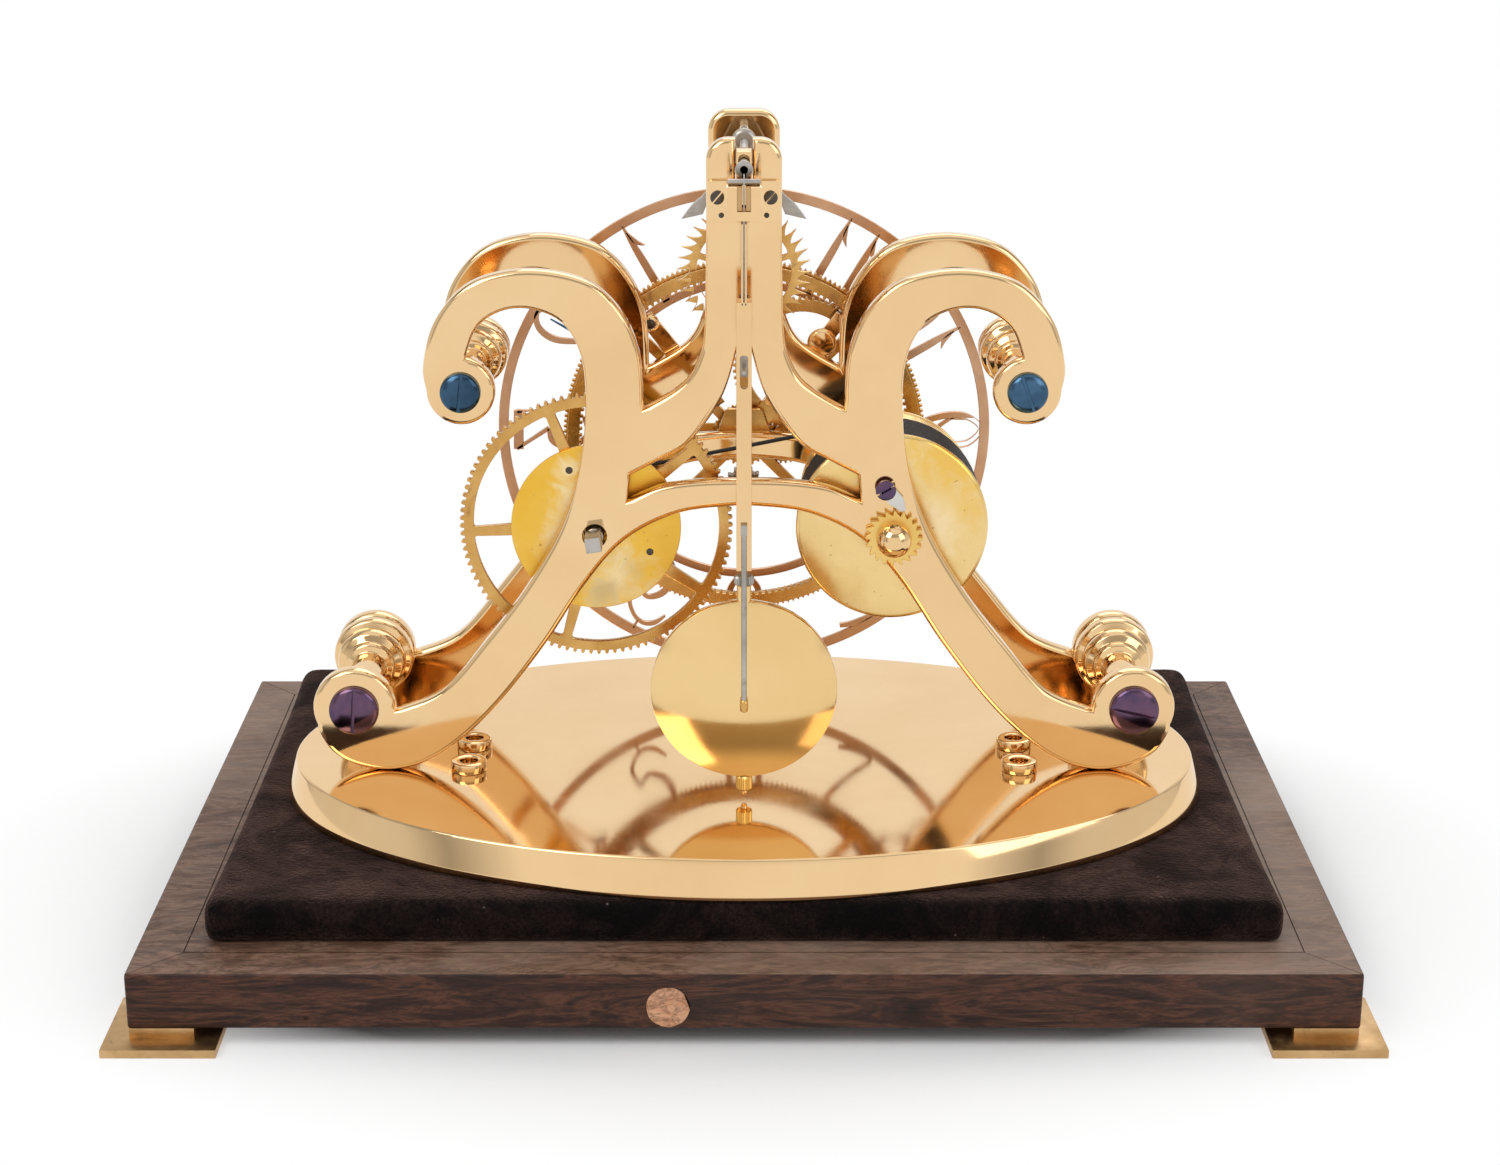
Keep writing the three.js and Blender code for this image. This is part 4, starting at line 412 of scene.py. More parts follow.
def eased_edges(obj, width):
    bevel = obj.modifiers.new("edges", "BEVEL")
    bevel.width = width * MM
    bevel.segments = 2
    bevel.limit_method = "ANGLE"
    bevel.angle_limit = math.radians(30)
    bevel.harden_normals = False
    obj = baked(obj)
    finish_mesh(obj.data)
    return obj


# Materials
def material(name):
    mat = bpy.data.materials.new(name)
    mat.use_nodes = True
    tree = mat.node_tree
    return mat, tree, tree.nodes["Principled BSDF"], node(tree, "TexCoord").outputs["Object"]


def feed(tree, made, **inputs):
    """Sets or links a node's inputs. An underscore stands for a space, and i2 for input number 2."""
    for key, value in inputs.items():
        socket = made.inputs[int(key[1:]) if key[1:].isdigit() else key.replace("_", " ")]
        if isinstance(value, bpy.types.NodeSocket):
            tree.links.new(value, socket)
        else:
            socket.default_value = value
    return made


def node(tree, kind, operation=None, **inputs):
    made = tree.nodes.new("ShaderNode" + kind)
    if operation:
        made.operation = operation
    return feed(tree, made, **inputs)


def combined(tree, operation, first, second):
    return node(tree, "Math", operation, i0=first, i1=second).outputs[0]


def noise(tree, coords, scale, detail=4.0, rough=0.55, distortion=0.0, stretch=None):
    if stretch:
        coords = node(tree, "Mapping", Vector=coords, Scale=stretch).outputs["Vector"]
    made = node(tree, "TexNoise", Vector=coords, Scale=scale, Detail=detail, Roughness=rough,
                Distortion=distortion)
    return made.outputs["Fac"]


def ramp(tree, value, stops):
    """Tones along a value, each with its place. A single number is a grey."""
    made = node(tree, "ValToRGB", Fac=value)
    elements = made.color_ramp.elements
    while len(elements) < len(stops):
        elements.new(0.5)
    for element, (place, tone) in zip(elements, stops):
        element.position = place
        element.color = (*tone, 1) if isinstance(tone, tuple) else (tone, tone, tone, 1)
    return made.outputs["Color"]


def spread(tree, value, low, high, start=0.3, end=0.7):
    return node(tree, "MapRange", Value=value, i1=start, i2=end, i3=low, i4=high).outputs["Result"]


def mixed(tree, share, first, second, blend="MIX"):
    made = node(tree, "Mix")
    made.data_type = "RGBA"
    made.blend_type = blend
    return feed(tree, made, i0=share, i6=first, i7=second).outputs[2]


def bumped(tree, shader, height, strength, distance):
    bump = node(tree, "Bump", Height=height, Strength=strength, Distance=distance)
    feed(tree, shader, Normal=bump.outputs["Normal"])


def metal(name, tones, rough, stain=None, stain_at=(0.56, 0.7), scale=28.0, bump=0.05, grain=(1, 1, 1)):
    """Metal with cloudy tone, uneven polish, fine rubbing marks and, where given, stains."""
    mat, tree, shader, coords = material(name)
    color = ramp(tree, noise(tree, coords, scale, 5, 0.6, 0.4), [(0.32, tones[0]), (0.68, tones[1])])
    if stain:
        stains = noise(tree, coords, scale * 1.7, 8, 0.62, 1.2)
        share = ramp(tree, stains, [(stain_at[0], 0), (stain_at[1], 1)])
        color = mixed(tree, share, color, (*stain, 1))
    polish = spread(tree, noise(tree, coords, scale * 3, 6, 0.6), *rough)
    feed(tree, shader, Metallic=1.0, Base_Color=color, Roughness=polish)
    bumped(tree, shader, noise(tree, coords, 420, 3, 0.6, 0, grain), bump, 0.0002)
    return mat


def patch(tree, coords, place, inner, outer):
    """1 near a place in mm, 0 away from it, with an uneven rim."""
    away = node(tree, "VectorMath", "DISTANCE", i0=coords, i1=[c * MM for c in place])
    uneven = 0.5 * outer * MM
    shift = spread(tree, noise(tree, coords, 120, 5, 0.65, 0.8), -uneven, uneven)
    total = combined(tree, "ADD", away.outputs["Value"], shift)
    return spread(tree, total, 1.0, 0.0, inner * MM, outer * MM)


def gilt_face(name, tones, rough, patches):
    """Gilt face with tarnish patches: a place, an inner and an outer radius, a tone and a strength."""
    mat, tree, shader, coords = material(name)
    color = ramp(tree, noise(tree, coords, 70, 5, 0.6, 0.5), [(0.3, tones[0]), (0.7, tones[1])])
    for place, inner, outer, tone, strength in patches:
        share = combined(tree, "MULTIPLY", patch(tree, coords, place, inner, outer), strength)
        color = mixed(tree, share, color, (*tone, 1))
    freckles = ramp(tree, noise(tree, coords, 620, 3, 0.5), [(0.7, 0), (0.76, 0.6)])
    color = mixed(tree, freckles, color, (0.30, 0.17, 0.05, 1))
    polish = spread(tree, noise(tree, coords, 140, 5, 0.6), *rough)
    feed(tree, shader, Metallic=1.0, Base_Color=color, Roughness=polish)
    bumped(tree, shader, noise(tree, coords, 500, 3, 0.6), 0.05, 0.0002)
    return mat


def wood(name, stretch, tones, burr_scale=34, rough=(0.34, 0.55), worn_tone=(0.13, 0.085, 0.065), worn=0.2):
    """Dark figured veneer: distorted bands of grain, pores and burr clouds."""
    mat, tree, shader, coords = material(name)
    dark, middle, light = tones
    burr = noise(tree, coords, burr_scale, 8, 0.62, 2.4, stretch)
    swirl = noise(tree, coords, burr_scale * 2.4, 6, 0.6, 3.2, stretch)
    fine = noise(tree, coords, 260, 6, 0.7, 0.3, stretch)
    cloud = noise(tree, coords, 11, 3, 0.5, 0.6)
    figure = ramp(tree, burr, [(0.28, dark), (0.42, middle), (0.5, light), (0.56, middle), (0.72, dark)])
    rings = ramp(tree, swirl, [(0.44, 1), (0.5, (0.42, 0.40, 0.38)), (0.56, 1)])
    color = mixed(tree, 0.8, figure, rings, "MULTIPLY")
    color = mixed(tree, 0.8, color, ramp(tree, fine, [(0.36, 0.5), (0.5, 1)]), "MULTIPLY")
    share = combined(tree, "MULTIPLY", ramp(tree, cloud, [(0.48, 0), (0.72, 1)]), worn)
    color = mixed(tree, share, color, (*worn_tone, 1))
    feed(tree, shader, Base_Color=color, Roughness=spread(tree, fine, *rough), Specular_IOR_Level=0.25)
    bumped(tree, shader, fine, 0.25, 0.0003)
    return mat


def velvet_material():
    mat, tree, shader, coords = material("velvet")
    nap = noise(tree, coords, 34, 8, 0.72, 1.2)
    pile = noise(tree, coords, 900, 4, 0.7)
    lint = node(tree, "TexVoronoi", Scale=95.0, Vector=coords)
    ground = ramp(tree, nap, [(0.44, (0.0018, 0.0011, 0.0012)), (0.62, (0.015, 0.008, 0.007))])
    ground = mixed(tree, 0.8, ground, ramp(tree, pile, [(0.40, 0.35), (0.62, 1.9)]), "MULTIPLY")
    speck = ramp(tree, lint.outputs["Distance"], [(0.028, 1), (0.045, 0)])
    color = mixed(tree, speck, ground, (0.12, 0.09, 0.08, 1))
    feed(tree, shader, Base_Color=color, Roughness=0.95, Specular_IOR_Level=0.12,
         Sheen_Weight=spread(tree, nap, 0.18, 0.62, 0.38, 0.62), Sheen_Roughness=0.3,
         Sheen_Tint=(0.55, 0.31, 0.25, 1))
    bumped(tree, shader, pile, 0.9, 0.0012)
    return mat


def line_material():
    mat, tree, shader, coords = material("black_line")
    twist = noise(tree, coords, 900, 3, 0.6)
    color = ramp(tree, twist, [(0.3, (0.006, 0.005, 0.005)), (0.7, (0.03, 0.026, 0.022))])
    feed(tree, shader, Base_Color=color, Roughness=spread(tree, twist, 0.4, 0.65))
    bumped(tree, shader, twist, 0.5, 0.0003)
    return mat


# The materials of the slots
MATERIALS = {
    "polished_brass": metal("polished_brass", ((0.80, 0.535, 0.265), (0.86, 0.605, 0.33)), (0.05, 0.11),
                            (0.50, 0.27, 0.12), (0.705, 0.73), 16, 0.02),
    "gilt_brass": metal("gilt_brass", ((0.80, 0.52, 0.14), (0.86, 0.60, 0.22)), (0.24, 0.36), scale=30),
    "wheel_brass": metal("wheel_brass", ((0.56, 0.30, 0.08), (0.74, 0.45, 0.15)), (0.18, 0.34),
                         (0.40, 0.21, 0.08), (0.6, 0.74), 60, 0.06),
    # Rose brass: a reddish metal whose dark tone is partly painted shade, for the back of the chapter ring,
    # which lies in shadow
    "rose_brass": metal("rose_brass", ((0.56, 0.31, 0.17), (0.66, 0.40, 0.24)), (0.26, 0.4),
                        (0.42, 0.26, 0.18), (0.6, 0.78), 40, 0.06),
    "aged_brass": metal("aged_brass", ((0.50, 0.31, 0.135), (0.67, 0.44, 0.215)), (0.3, 0.5),
                        (0.34, 0.23, 0.12), (0.56, 0.72), 90, 0.12),
    "blued_steel": metal("blued_steel", ((0.03, 0.065, 0.11), (0.07, 0.15, 0.25)), (0.14, 0.24), scale=60),
    "grey_steel": metal("grey_steel", ((0.36, 0.34, 0.31), (0.52, 0.49, 0.45)), (0.26, 0.42),
                        (0.24, 0.2, 0.16), (0.58, 0.74), 110, 0.08, (0.25, 1, 1)),
    "rosewood": wood("rosewood", (0.35, 1, 2.6), ((0.010, 0.004, 0.003), (0.042, 0.015, 0.009),
                                                 (0.105, 0.040, 0.021))),
    "velvet": velvet_material(),
    "black_line": line_material(),
}

# Looks of single pieces
OTHER = {
    "cap": gilt_face("cap_gilt", ((0.84, 0.49, 0.055), (0.88, 0.55, 0.10)), (0.3, 0.42), [
        ((-50, -17, 133.6), 1.5, 5, (0.92, 0.74, 0.42), 0.8),
        ((-49, -17, 124), 2, 8, (0.93, 0.76, 0.44), 0.75),
        ((-52, -17, 114), 2, 9, (0.93, 0.76, 0.44), 0.7),
        ((-36, -17, 101), 3, 13, (0.90, 0.72, 0.40), 0.85),
        ((-47, -17, 119), 0.5, 5, (0.62, 0.42, 0.16), 0.5),
        ((-40, -17, 97), 0.5, 6, (0.55, 0.38, 0.15), 0.6),
        ((-31, -17, 103), 0.5, 5, (0.60, 0.42, 0.17), 0.5)]),
    "barrel": gilt_face("barrel_gilt", ((0.84, 0.60, 0.25), (0.88, 0.65, 0.30)), (0.2, 0.3), [
        ((58, -17.2, 138), 2, 13, (0.86, 0.53, 0.10), 0.85),
        ((64, -17.2, 122), 1, 9, (0.86, 0.53, 0.10), 0.6),
        ((36, -17.2, 138), 3, 12, (0.86, 0.58, 0.14), 0.5),
        ((28, -17.2, 96), 2, 12, (0.72, 0.48, 0.16), 0.4),
        ((55, -17.2, 117), 2, 10, (0.93, 0.78, 0.50), 0.6)]),
    "bob": metal("bob_brass", ((0.80, 0.545, 0.235), (0.85, 0.60, 0.285)), (0.09, 0.15), scale=24, bump=0.03),
    "screw_purple": metal("screw_purple", ((0.075, 0.055, 0.115), (0.20, 0.10, 0.145)), (0.14, 0.24),
                          scale=75),
    "bright_steel": metal("bright_steel", ((0.58, 0.55, 0.51), (0.70, 0.67, 0.63)), (0.16, 0.28), scale=80),
    "screw_dark": metal("screw_dark", ((0.045, 0.038, 0.034), (0.12, 0.10, 0.085)), (0.2, 0.32), scale=90),
    "wood_top": wood("plinth_top", (0.5, 1.6, 1), ((0.080, 0.038, 0.023), (0.16, 0.086, 0.055),
                                                  (0.23, 0.135, 0.092)), 30, (0.4, 0.62),
                     (0.34, 0.24, 0.18), 0.65),
    "plug": wood("plug", (1, 1, 2), ((0.48, 0.22, 0.11), (0.60, 0.30, 0.165), (0.68, 0.37, 0.22)), 30),
}


def dressed(obj, slot, look):
    if not obj.data.materials:
        obj.data.materials.append(OTHER[look] if look else MATERIALS[slot])


def stand_for(obj, node_name, look=None):
    """The piece rides with the node's body, hides it and takes its slot. It may have a look of its own."""
    slot = SLOTS[node_name]
    dressed(obj, slot, look)
    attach(obj, frame["nodes"][node_name]["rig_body"])
    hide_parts(node_name)


def add_to(obj, body, slot, look=None):
    """A small piece that no node stands for."""
    dressed(obj, slot, look)
    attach(obj, body)


# Camera at the photograph's viewing angle
def build_camera():
    data = bpy.data.cameras.new("camera")
    data.sensor_width = SENSOR
    data.lens = SENSOR * LENS_PIXELS / PHOTO_WIDTH
    data.shift_x = SHIFT_PIXELS / PHOTO_WIDTH
    data.clip_start = 0.05
    camera = link("camera", data)
    camera.location = (0, -0.7781, 0.3542)
    camera.rotation_euler = (math.radians(90 - LOOK_DOWN), 0, 0)
    bpy.context.scene.camera = camera


# Floor, room and lamps
def mixed_shader(tree, share, first, second):
    return node(tree, "MixShader", i0=share, i1=first, i2=second).outputs[0]


def build_floor():
    verts = [(x, y, 0) for x in (-4000, 4000) for y in (-4000, 4000)]
    floor = object_from("floor", verts, [(0, 2, 3, 1)])
    mat, tree, shader, coords = material("floor")
    tone = ramp(tree, noise(tree, coords, 300, 2), [(0, 0.93), (1, 0.96)])
    feed(tree, shader, Roughness=1.0, Specular_IOR_Level=0.0, Base_Color=tone)
    glow = node(tree, "Emission", Color=(1, 1, 1, 1), Strength=1.0).outputs[0]
    oval = node(tree, "VectorMath", "MULTIPLY", i0=coords, i1=(1, 1.45, 1)).outputs[0]
    distance = node(tree, "VectorMath", "LENGTH", i0=oval).outputs["Value"]
    fade = spread(tree, distance, 0.0, 1.0, *FADE_REACH)
    rays = node(tree, "LightPath").outputs
    seen = combined(tree, "MAXIMUM", rays["Is Camera Ray"], rays["Is Glossy Ray"])
    share = combined(tree, "MULTIPLY", fade, seen)
    feed(tree, tree.nodes["Material Output"], Surface=mixed_shader(tree, share, shader.outputs[0], glow))
    floor.data.materials.append(mat)


def build_world():
    world = bpy.data.worlds.new("studio")
    bpy.context.scene.world = world
    world.use_nodes = True
    tree = world.node_tree
    plain = feed(tree, tree.nodes["Background"], Color=(1, 1, 1, 1), Strength=0.62).outputs[0]
    seen = node(tree, "Background", Color=(1, 1, 1, 1), Strength=1.0).outputs[0]
    split = node(tree, "SeparateXYZ", i0=node(tree, "TexCoord").outputs["Generated"])
    ceiling = ramp(tree, spread(tree, split.outputs["Z"], 0, 1, -1, 1),
                   [(0.0, 0.9), (0.5, 1), (0.72, 1), (0.8, 0.5), (0.88, 0.42), (0.93, 1)])
    room = ramp(tree, spread(tree, split.outputs["X"], 0, 1, -1, 1),
                [(0.0, 0.8), (0.05, 0.75), (0.1, 0.42), (0.2, 1),
                 (0.8, 1), (0.9, 0.42), (0.95, 0.75), (1.0, 0.8)])
    tone = mixed(tree, 1.0, ceiling, room, "MULTIPLY")
    studio = node(tree, "Background", Strength=1.0, Color=tone).outputs[0]
    rays = node(tree, "LightPath").outputs
    first = mixed_shader(tree, rays["Is Glossy Ray"], plain, studio)
    clear = combined(tree, "MAXIMUM", rays["Is Camera Ray"], rays["Is Transmission Ray"])
    feed(tree, tree.nodes["World Output"], Surface=mixed_shader(tree, clear, first, seen))


def build_lamps():
    for name, place, size, power in LAMPS:
        lamp = bpy.data.lights.new(name, "AREA")
        lamp.size = size
        lamp.energy = power
        obj = link(name, lamp)
        obj.location = place
        obj.rotation_euler = (Vector((0, 0, 0.1)) - Vector(place)).to_track_quat("-Z", "Y").to_euler()
    bpy.context.scene.view_settings.view_transform = "Standard"


# Plates
BRANCH = [(0.083, 0.88), (0.088, 0.72), (0.101, 0.668), (0.138, 0.627), (0.226, 0.589)]
CURL_OUTER = [(0.226, 0.589), (0.232, 0.672), (0.268, 0.735), (0.334, 0.781), (0.43, 0.801), (0.53, 0.8),
              (0.622, 0.777), (0.69, 0.722), (0.717, 0.656), (0.711, 0.617)]
CURL_INNER = [(0.622, 0.668), (0.592, 0.717), (0.531, 0.742), (0.462, 0.742), (0.398, 0.718), (0.361, 0.662),
              (0.357, 0.578), (0.375, 0.487), (0.421, 0.395), (0.502, 0.3), (0.598, 0.213), (0.7, 0.133),
              (0.809, 0.1)]
BOTTOM = [(0.997, 0.075), (0.965, 0.034), (0.908, 0.009), (0.828, 0), (0.74, 0.015), (0.65, 0.057),
          (0.556, 0.123), (0.453, 0.216), (0.366, 0.307), (0.27, 0.382), (0.145, 0.425), (0, 0.437)]
WINDOW_ARCH = [(0.265, 0.443), (0.19, 0.466), (0.1, 0.475), (0, 0.477)]
WINDOW_BRANCH = [(0.258, 0.485), (0.19, 0.509), (0.13, 0.533), (0.077, 0.576), (0.042, 0.62), (0.018, 0.676),
                 (0, 0.735)]


def shares(pairs):
    return spline([(x * PLATE_SPAN, z * PLATE_HEIGHT) for x, z in pairs])


def half_plate(is_slotted):
    branch, outer, inner, bottom = (shares(p) for p in (BRANCH, CURL_OUTER, CURL_INNER, BOTTOM))

    def angle(eye, point):
        return math.atan2(point[1] - eye[1], point[0] - eye[0])

    if is_slotted:
        top = [(2.45, PLATE_HEIGHT - 8.7), (2.45, PLATE_HEIGHT)]
    else:
        top = [(0, PLATE_HEIGHT)]
    return (top + arc(4.4, PLATE_HEIGHT - 6, 6, math.pi / 2, 0, 12) + branch + outer[1:-1]
            + arc(*UPPER_EYE, angle(UPPER_EYE, outer[-1]), angle(UPPER_EYE, inner[0]) - 2 * math.pi, 30)
            + inner[1:-1]
            + arc(*FOOT_EYE, angle(FOOT_EYE, inner[-1]) + 2 * math.pi, angle(FOOT_EYE, bottom[0]), 26)
            + bottom[1:])


def build_plates():
    window = mirrored(shares(WINDOW_ARCH)[::-1] + shares(WINDOW_BRANCH))
    pivots = {
        "rear_plate": [(0, CENTRE_Z, 1.3), (0, ESCAPE_Z, 1.3), (-SIDE_X, SIDE_Z, 3.6), (SIDE_X, SIDE_Z, 2.9)],
        "front_plate": [(0, CENTRE_Z, 1.9), (0, ESCAPE_Z, 1.6), (0, PALLET_Z, 1.3), (-SIDE_X, SIDE_Z, 1.3),
                        (SIDE_X, SIDE_Z, 1.3)],
    }
    screws = [(side * x, PLATE_FOOT + z, 3.3) for side in (-1, 1) for x, z, _ in (UPPER_EYE, FOOT_EYE)]
    for name, y in (("rear_plate", REAR_Y), ("front_plate", FRONT_INNER_Y)):
        outline = mirrored(half_plate(name == "rear_plate"))
        plate = flat(name + "_smooth", [outline, window], y, y + PLATE_THICKNESS, 1.5, 2, (0, PLATE_FOOT))
        tools = [lathe("hole", bars(-1, (r, 7)), (x, y, z), 40, 0) for x, z, r in pivots[name] + screws]
        if name == "front_plate":
            top = PLATE_FOOT + PLATE_HEIGHT - 2.6 - 7.1
            pocket = [(-7.1, top - 12.9), (7.1, top - 12.9)] + arc(0, top, 7.1, 0, math.pi, 24)
            tools.append(flat("pocket", [pocket], y - 1, y + 3, 0.05, 0))
        plate = boolean(plate, tools)
        for face in plate.data.polygons:
            face.use_smooth = abs(face.normal[1]) < 0.999
        stand_for(plate, name)


def slotted_screw(name, node_name, at, head, turn, shank, rim=1.0, dome=2.2, reach=12.0, slot=1.0, look=None):
    profile = [(0, reach), (shank, reach), (shank, 0), (head, 0), (head, -rim)]
    profile += [(head * math.cos(a), -rim - dome * math.sin(a)) for a in
                map(math.radians, (12, 25, 38, 52, 66, 78))]
    screw = lathe(name, profile + [(0, -rim - dome)], (0, 0, 0), 64, 0.25)
    top = -rim - dome
    cutter = block("slot", (-slot / 2, top - 1, -head - 1), (slot / 2, top + 1.5, head + 1), 0.05, 1)
    stand_for(placed(boolean(screw, [cutter]), turn, "Y", at), node_name, look)


PILLAR = [(0, 0.62), (0.02, 0.6), (0.045, 0.43), (0.12, 0.40), (0.3, 0.43), (0.5, 0.46), (0.6, 0.43),
          (0.655, 0.42), (0.672, 0.6), (0.7, 0.64), (0.715, 0.62), (0.74, 0.8), (0.78, 0.86), (0.83, 0.86),
          (0.855, 0.78), (0.875, 0.97), (0.9, 1.0), (0.955, 1.0), (0.975, 0.93), (1.0, 0.8)]


def build_pillars():
    turns = {"upper_left": 0.12, "upper_right": -0.35, "lower_left": 0.08, "lower_right": -1.35}
    for row, (x, z, radius), head, look in (("upper", UPPER_EYE, 5.7, None),
                                            ("lower", FOOT_EYE, 7.2, "screw_purple")):
        profile = [(0, 6.3), (3.3, 6.3), (3.3, 0)]
        profile += [(across * radius, along * 44) for along, across in PILLAR] + [(0, 44)]
        for side, sign in SIDES:
            place = f"{row}_{side}"
            foot = (sign * x, REAR_INNER_Y, PLATE_FOOT + z)
            stand_for(lathe(f"pillar_{place}_turned", profile, foot, 72, 0.5), "pillar_" + place)
            slotted_screw(f"screw_{place}_domed", "screw_" + place, (sign * x, REAR_Y, PLATE_FOOT + z), head,
                          turns[place], 3.0, look=look)


# Base, pad, plinth and feet
def build_base():
    profile = [(0.5, 33.5), (0.12, 33.6), (0, 33.9), (0, 35.3), (0.12, 35.75), (2.75, 44.0), (3.0, 44.35),
               (3.5, 44.5)]
    sides = 240
    angles = [2 * math.pi * k / sides for k in range(sides)]
    verts = [((136.0 - inset) * math.cos(a), -7 + (84.5 - inset) * math.sin(a), z)
             for inset, z in profile for a in angles]
    stand_for(object_from("oval_base_smooth", verts, ring_faces(len(profile), sides), 2), "oval_base")
    for side, sign in SIDES:
        for row, y in (("rear", -24), ("inner", -6)):
            profile = [(2.6, 3), (2.6, 0), (5.2, 0), (5.2, 3), (2.6, 3)]
            post = lathe(f"seat_post_{row}_{side}_turned", profile, (sign * 80.5, y, 44.5), 48, 0, axis="Z")
            stand_for(eased_edges(post, 0.35), f"seat_post_{row}_{side}")


PAD_FLOOR = 21.55
PAD_HALF_X = 148.0
PAD_HALF_Y = 94.0
PAD_CORNER = 4.0
PAD_DRAW = 0.7
PAD_LEVELS = ((0.2, PAD_FLOOR), (0.0, 22.2), (0.0, 27), (0.1, 31), (0.5, 32.6), (1.3, 33.3), (3.0, 33.4))
SWELL_FRAMES = 14
SWELL_LIMIT = 0.0009


def pad_ring(inset, z):
    """The pad's outline at a level: round corners, and sides that pull in between them."""
    points = []
    corners = [(1, -1, -math.pi / 2), (1, 1, 0), (-1, 1, math.pi / 2), (-1, -1, math.pi)]
    hx, hy = PAD_HALF_X - PAD_CORNER, PAD_HALF_Y - PAD_CORNER
    radius = max(PAD_CORNER - inset, 0.5)
    for index, (sx, sy, start) in enumerate(corners):
        for i in range(9):
            a = start + math.pi / 2 * i / 8
            points.append((sx * hx + radius * math.cos(a), sy * hy + radius * math.sin(a), z))
        nx, ny, _ = corners[(index + 1) % 4]
        x, y, _ = points[-1]
        is_long = sx != nx
        count = 40 if is_long else 26
        for i in range(1, count):
            t = i / count
            pull = PAD_DRAW * math.sin(math.pi * t)
            if is_long:
                points.append((x + (nx * hx - x) * t, y - math.copysign(pull, y), z))
            else:
                points.append((x - math.copysign(pull, x), y + (ny * hy - y) * t, z))
    return points


def swelled(pad):
    """The pad blown up a little by cloth pressure, and no point moved further than the limit."""
    rest = np.array([v.co for v in pad.data.vertices])
    cloth = pad.modifiers.new("cloth", "CLOTH")
    cloth.settings.use_pressure = True
    cloth.settings.uniform_pressure_force = 4
    cloth.settings.effector_weights.gravity = 0
    scene = bpy.context.scene
    for number in range(1, SWELL_FRAMES + 1):
        scene.frame_set(number)
    pad = baked(pad)
    scene.frame_set(1)
    moved = np.array([v.co for v in pad.data.vertices]) - rest
    length = np.linalg.norm(moved, axis=1, keepdims=True)
    moved *= np.minimum(1, SWELL_LIMIT / np.maximum(length, 1e-9))
    place = rest + moved
    pad.data.vertices.foreach_set("co", place.astype(np.float32).ravel())
    return pad


def build_pad():
    """A slightly small body, swelled, held inside its space and rolled at the top."""
    rings = [pad_ring(inset + 0.2, z) for inset, z in PAD_LEVELS]
    verts = [p for ring in rings for p in ring]
    pad = object_from("velvet_pad_soft", verts, ring_faces(len(rings), len(rings[0])))
    remesh = pad.modifiers.new("remesh", "REMESH")
    remesh.mode = "VOXEL"
    remesh.voxel_size = 0.0028
    pad = baked(pad)
    pad = swelled(pad)
    under_base, limit_x, limit_y = 33.42 * MM, 147.8 * MM, 93.8 * MM
    for v in pad.data.vertices:
        x, y, z = v.co
        inside = (x / 0.139) ** 2 + ((y + 0.007) / 0.0875) ** 2
        top = under_base if inside < 1 else under_base + min(0.0002, (inside - 1) * 0.002)
        v.co.z = min(max(z, PAD_FLOOR * MM), top)
        v.co.x = max(-limit_x, min(limit_x, x))
        v.co.y = max(-limit_y, min(limit_y, y))
    smooth = pad.modifiers.new("smooth", "SUBSURF")
    smooth.levels = smooth.render_levels = 1
    pad = baked(pad)
    for face in pad.data.polygons:
        face.use_smooth = True
    stand_for(pad, "velvet_pad")


def build_plinth():
    half_x, half_y, top = 165, 111.5, 21.5
    body = block("plinth_veneered", (-half_x, -half_y, 5.5), (half_x, half_y, top), 0.9, 3)
    width, depth = 0.35, 0.45
    cuts = []
    for side in (-1, 1):
        y, x = side * 98, side * 151.5
        cuts.append(block("line", (-151.5, y - width / 2, top - depth), (151.5, y + width / 2, 23), 0.02, 1))
        cuts.append(block("line", (x - width / 2, -98, top - depth), (x + width / 2, 98, 23), 0.02, 1))
        for end in (-1, 1):
            mitre = block("mitre", (-9.7, -0.1, -depth), (9.7, 0.1, 1), 0.01, 1)
            cuts.append(placed(mitre, side * end * math.pi / 4, "Z", (side * 158.2, end * 104.8, top)))
    cuts.append(lathe("plug_hole", bars(-1, (5.95, 1.2)), (-20.3, -half_y, 11.8), 48, 0))
    nick = [(0, -0.9), (0.9, -0.3), (0.5, 0.5), (0, 0.7)]
    cuts.append(lathe("nick", nick, (-117, -half_y, 8.6), 9, 0))
    body = boolean(body, cuts)
    body.data.materials.append(MATERIALS["rosewood"])
    body.data.materials.append(OTHER["wood_top"])
    for face in body.data.polygons:
        face.material_index = 1 if face.normal.z > 0.9 else 0
    stand_for(body, "plinth")
    rim = []
    for a in map(math.radians, range(0, 360, 6)):
        x = 5.85 * (1 + 0.012 * math.sin(5 * a + 1)) * math.cos(a)
        z = 5.85 * (1 + 0.012 * math.sin(7 * a)) * math.sin(a)
        if x < 3.4 or not -0.5 < z < 3.6:
            rim.append((x, z))
    add_to(flat("plinth_plug", [rim], -111.48, -110.4, 0.12, 1, (-20.3, 11.8)), "base", "rosewood", "plug")
    for end, sy in (("rear", -1), ("dial", 1)):
        for side, sx in SIDES:
            x, y = sx * 156.0, sy * 102.5
            lower = block("lower", (x - 15.5, y - 15.5, 0), (x + 15.5, y + 15.5, 2.5), 0.3)
            upper = block("upper", (x - 8.75, y - 8.75, 2.4), (x + 8.75, y + 8.75, 5.5), 0.2)
            foot = boolean(lower, [upper], "UNION")
            foot.name = foot.data.name = f"foot_{end}_{side}_stepped"
            stand_for(foot, f"foot_{end}_{side}")


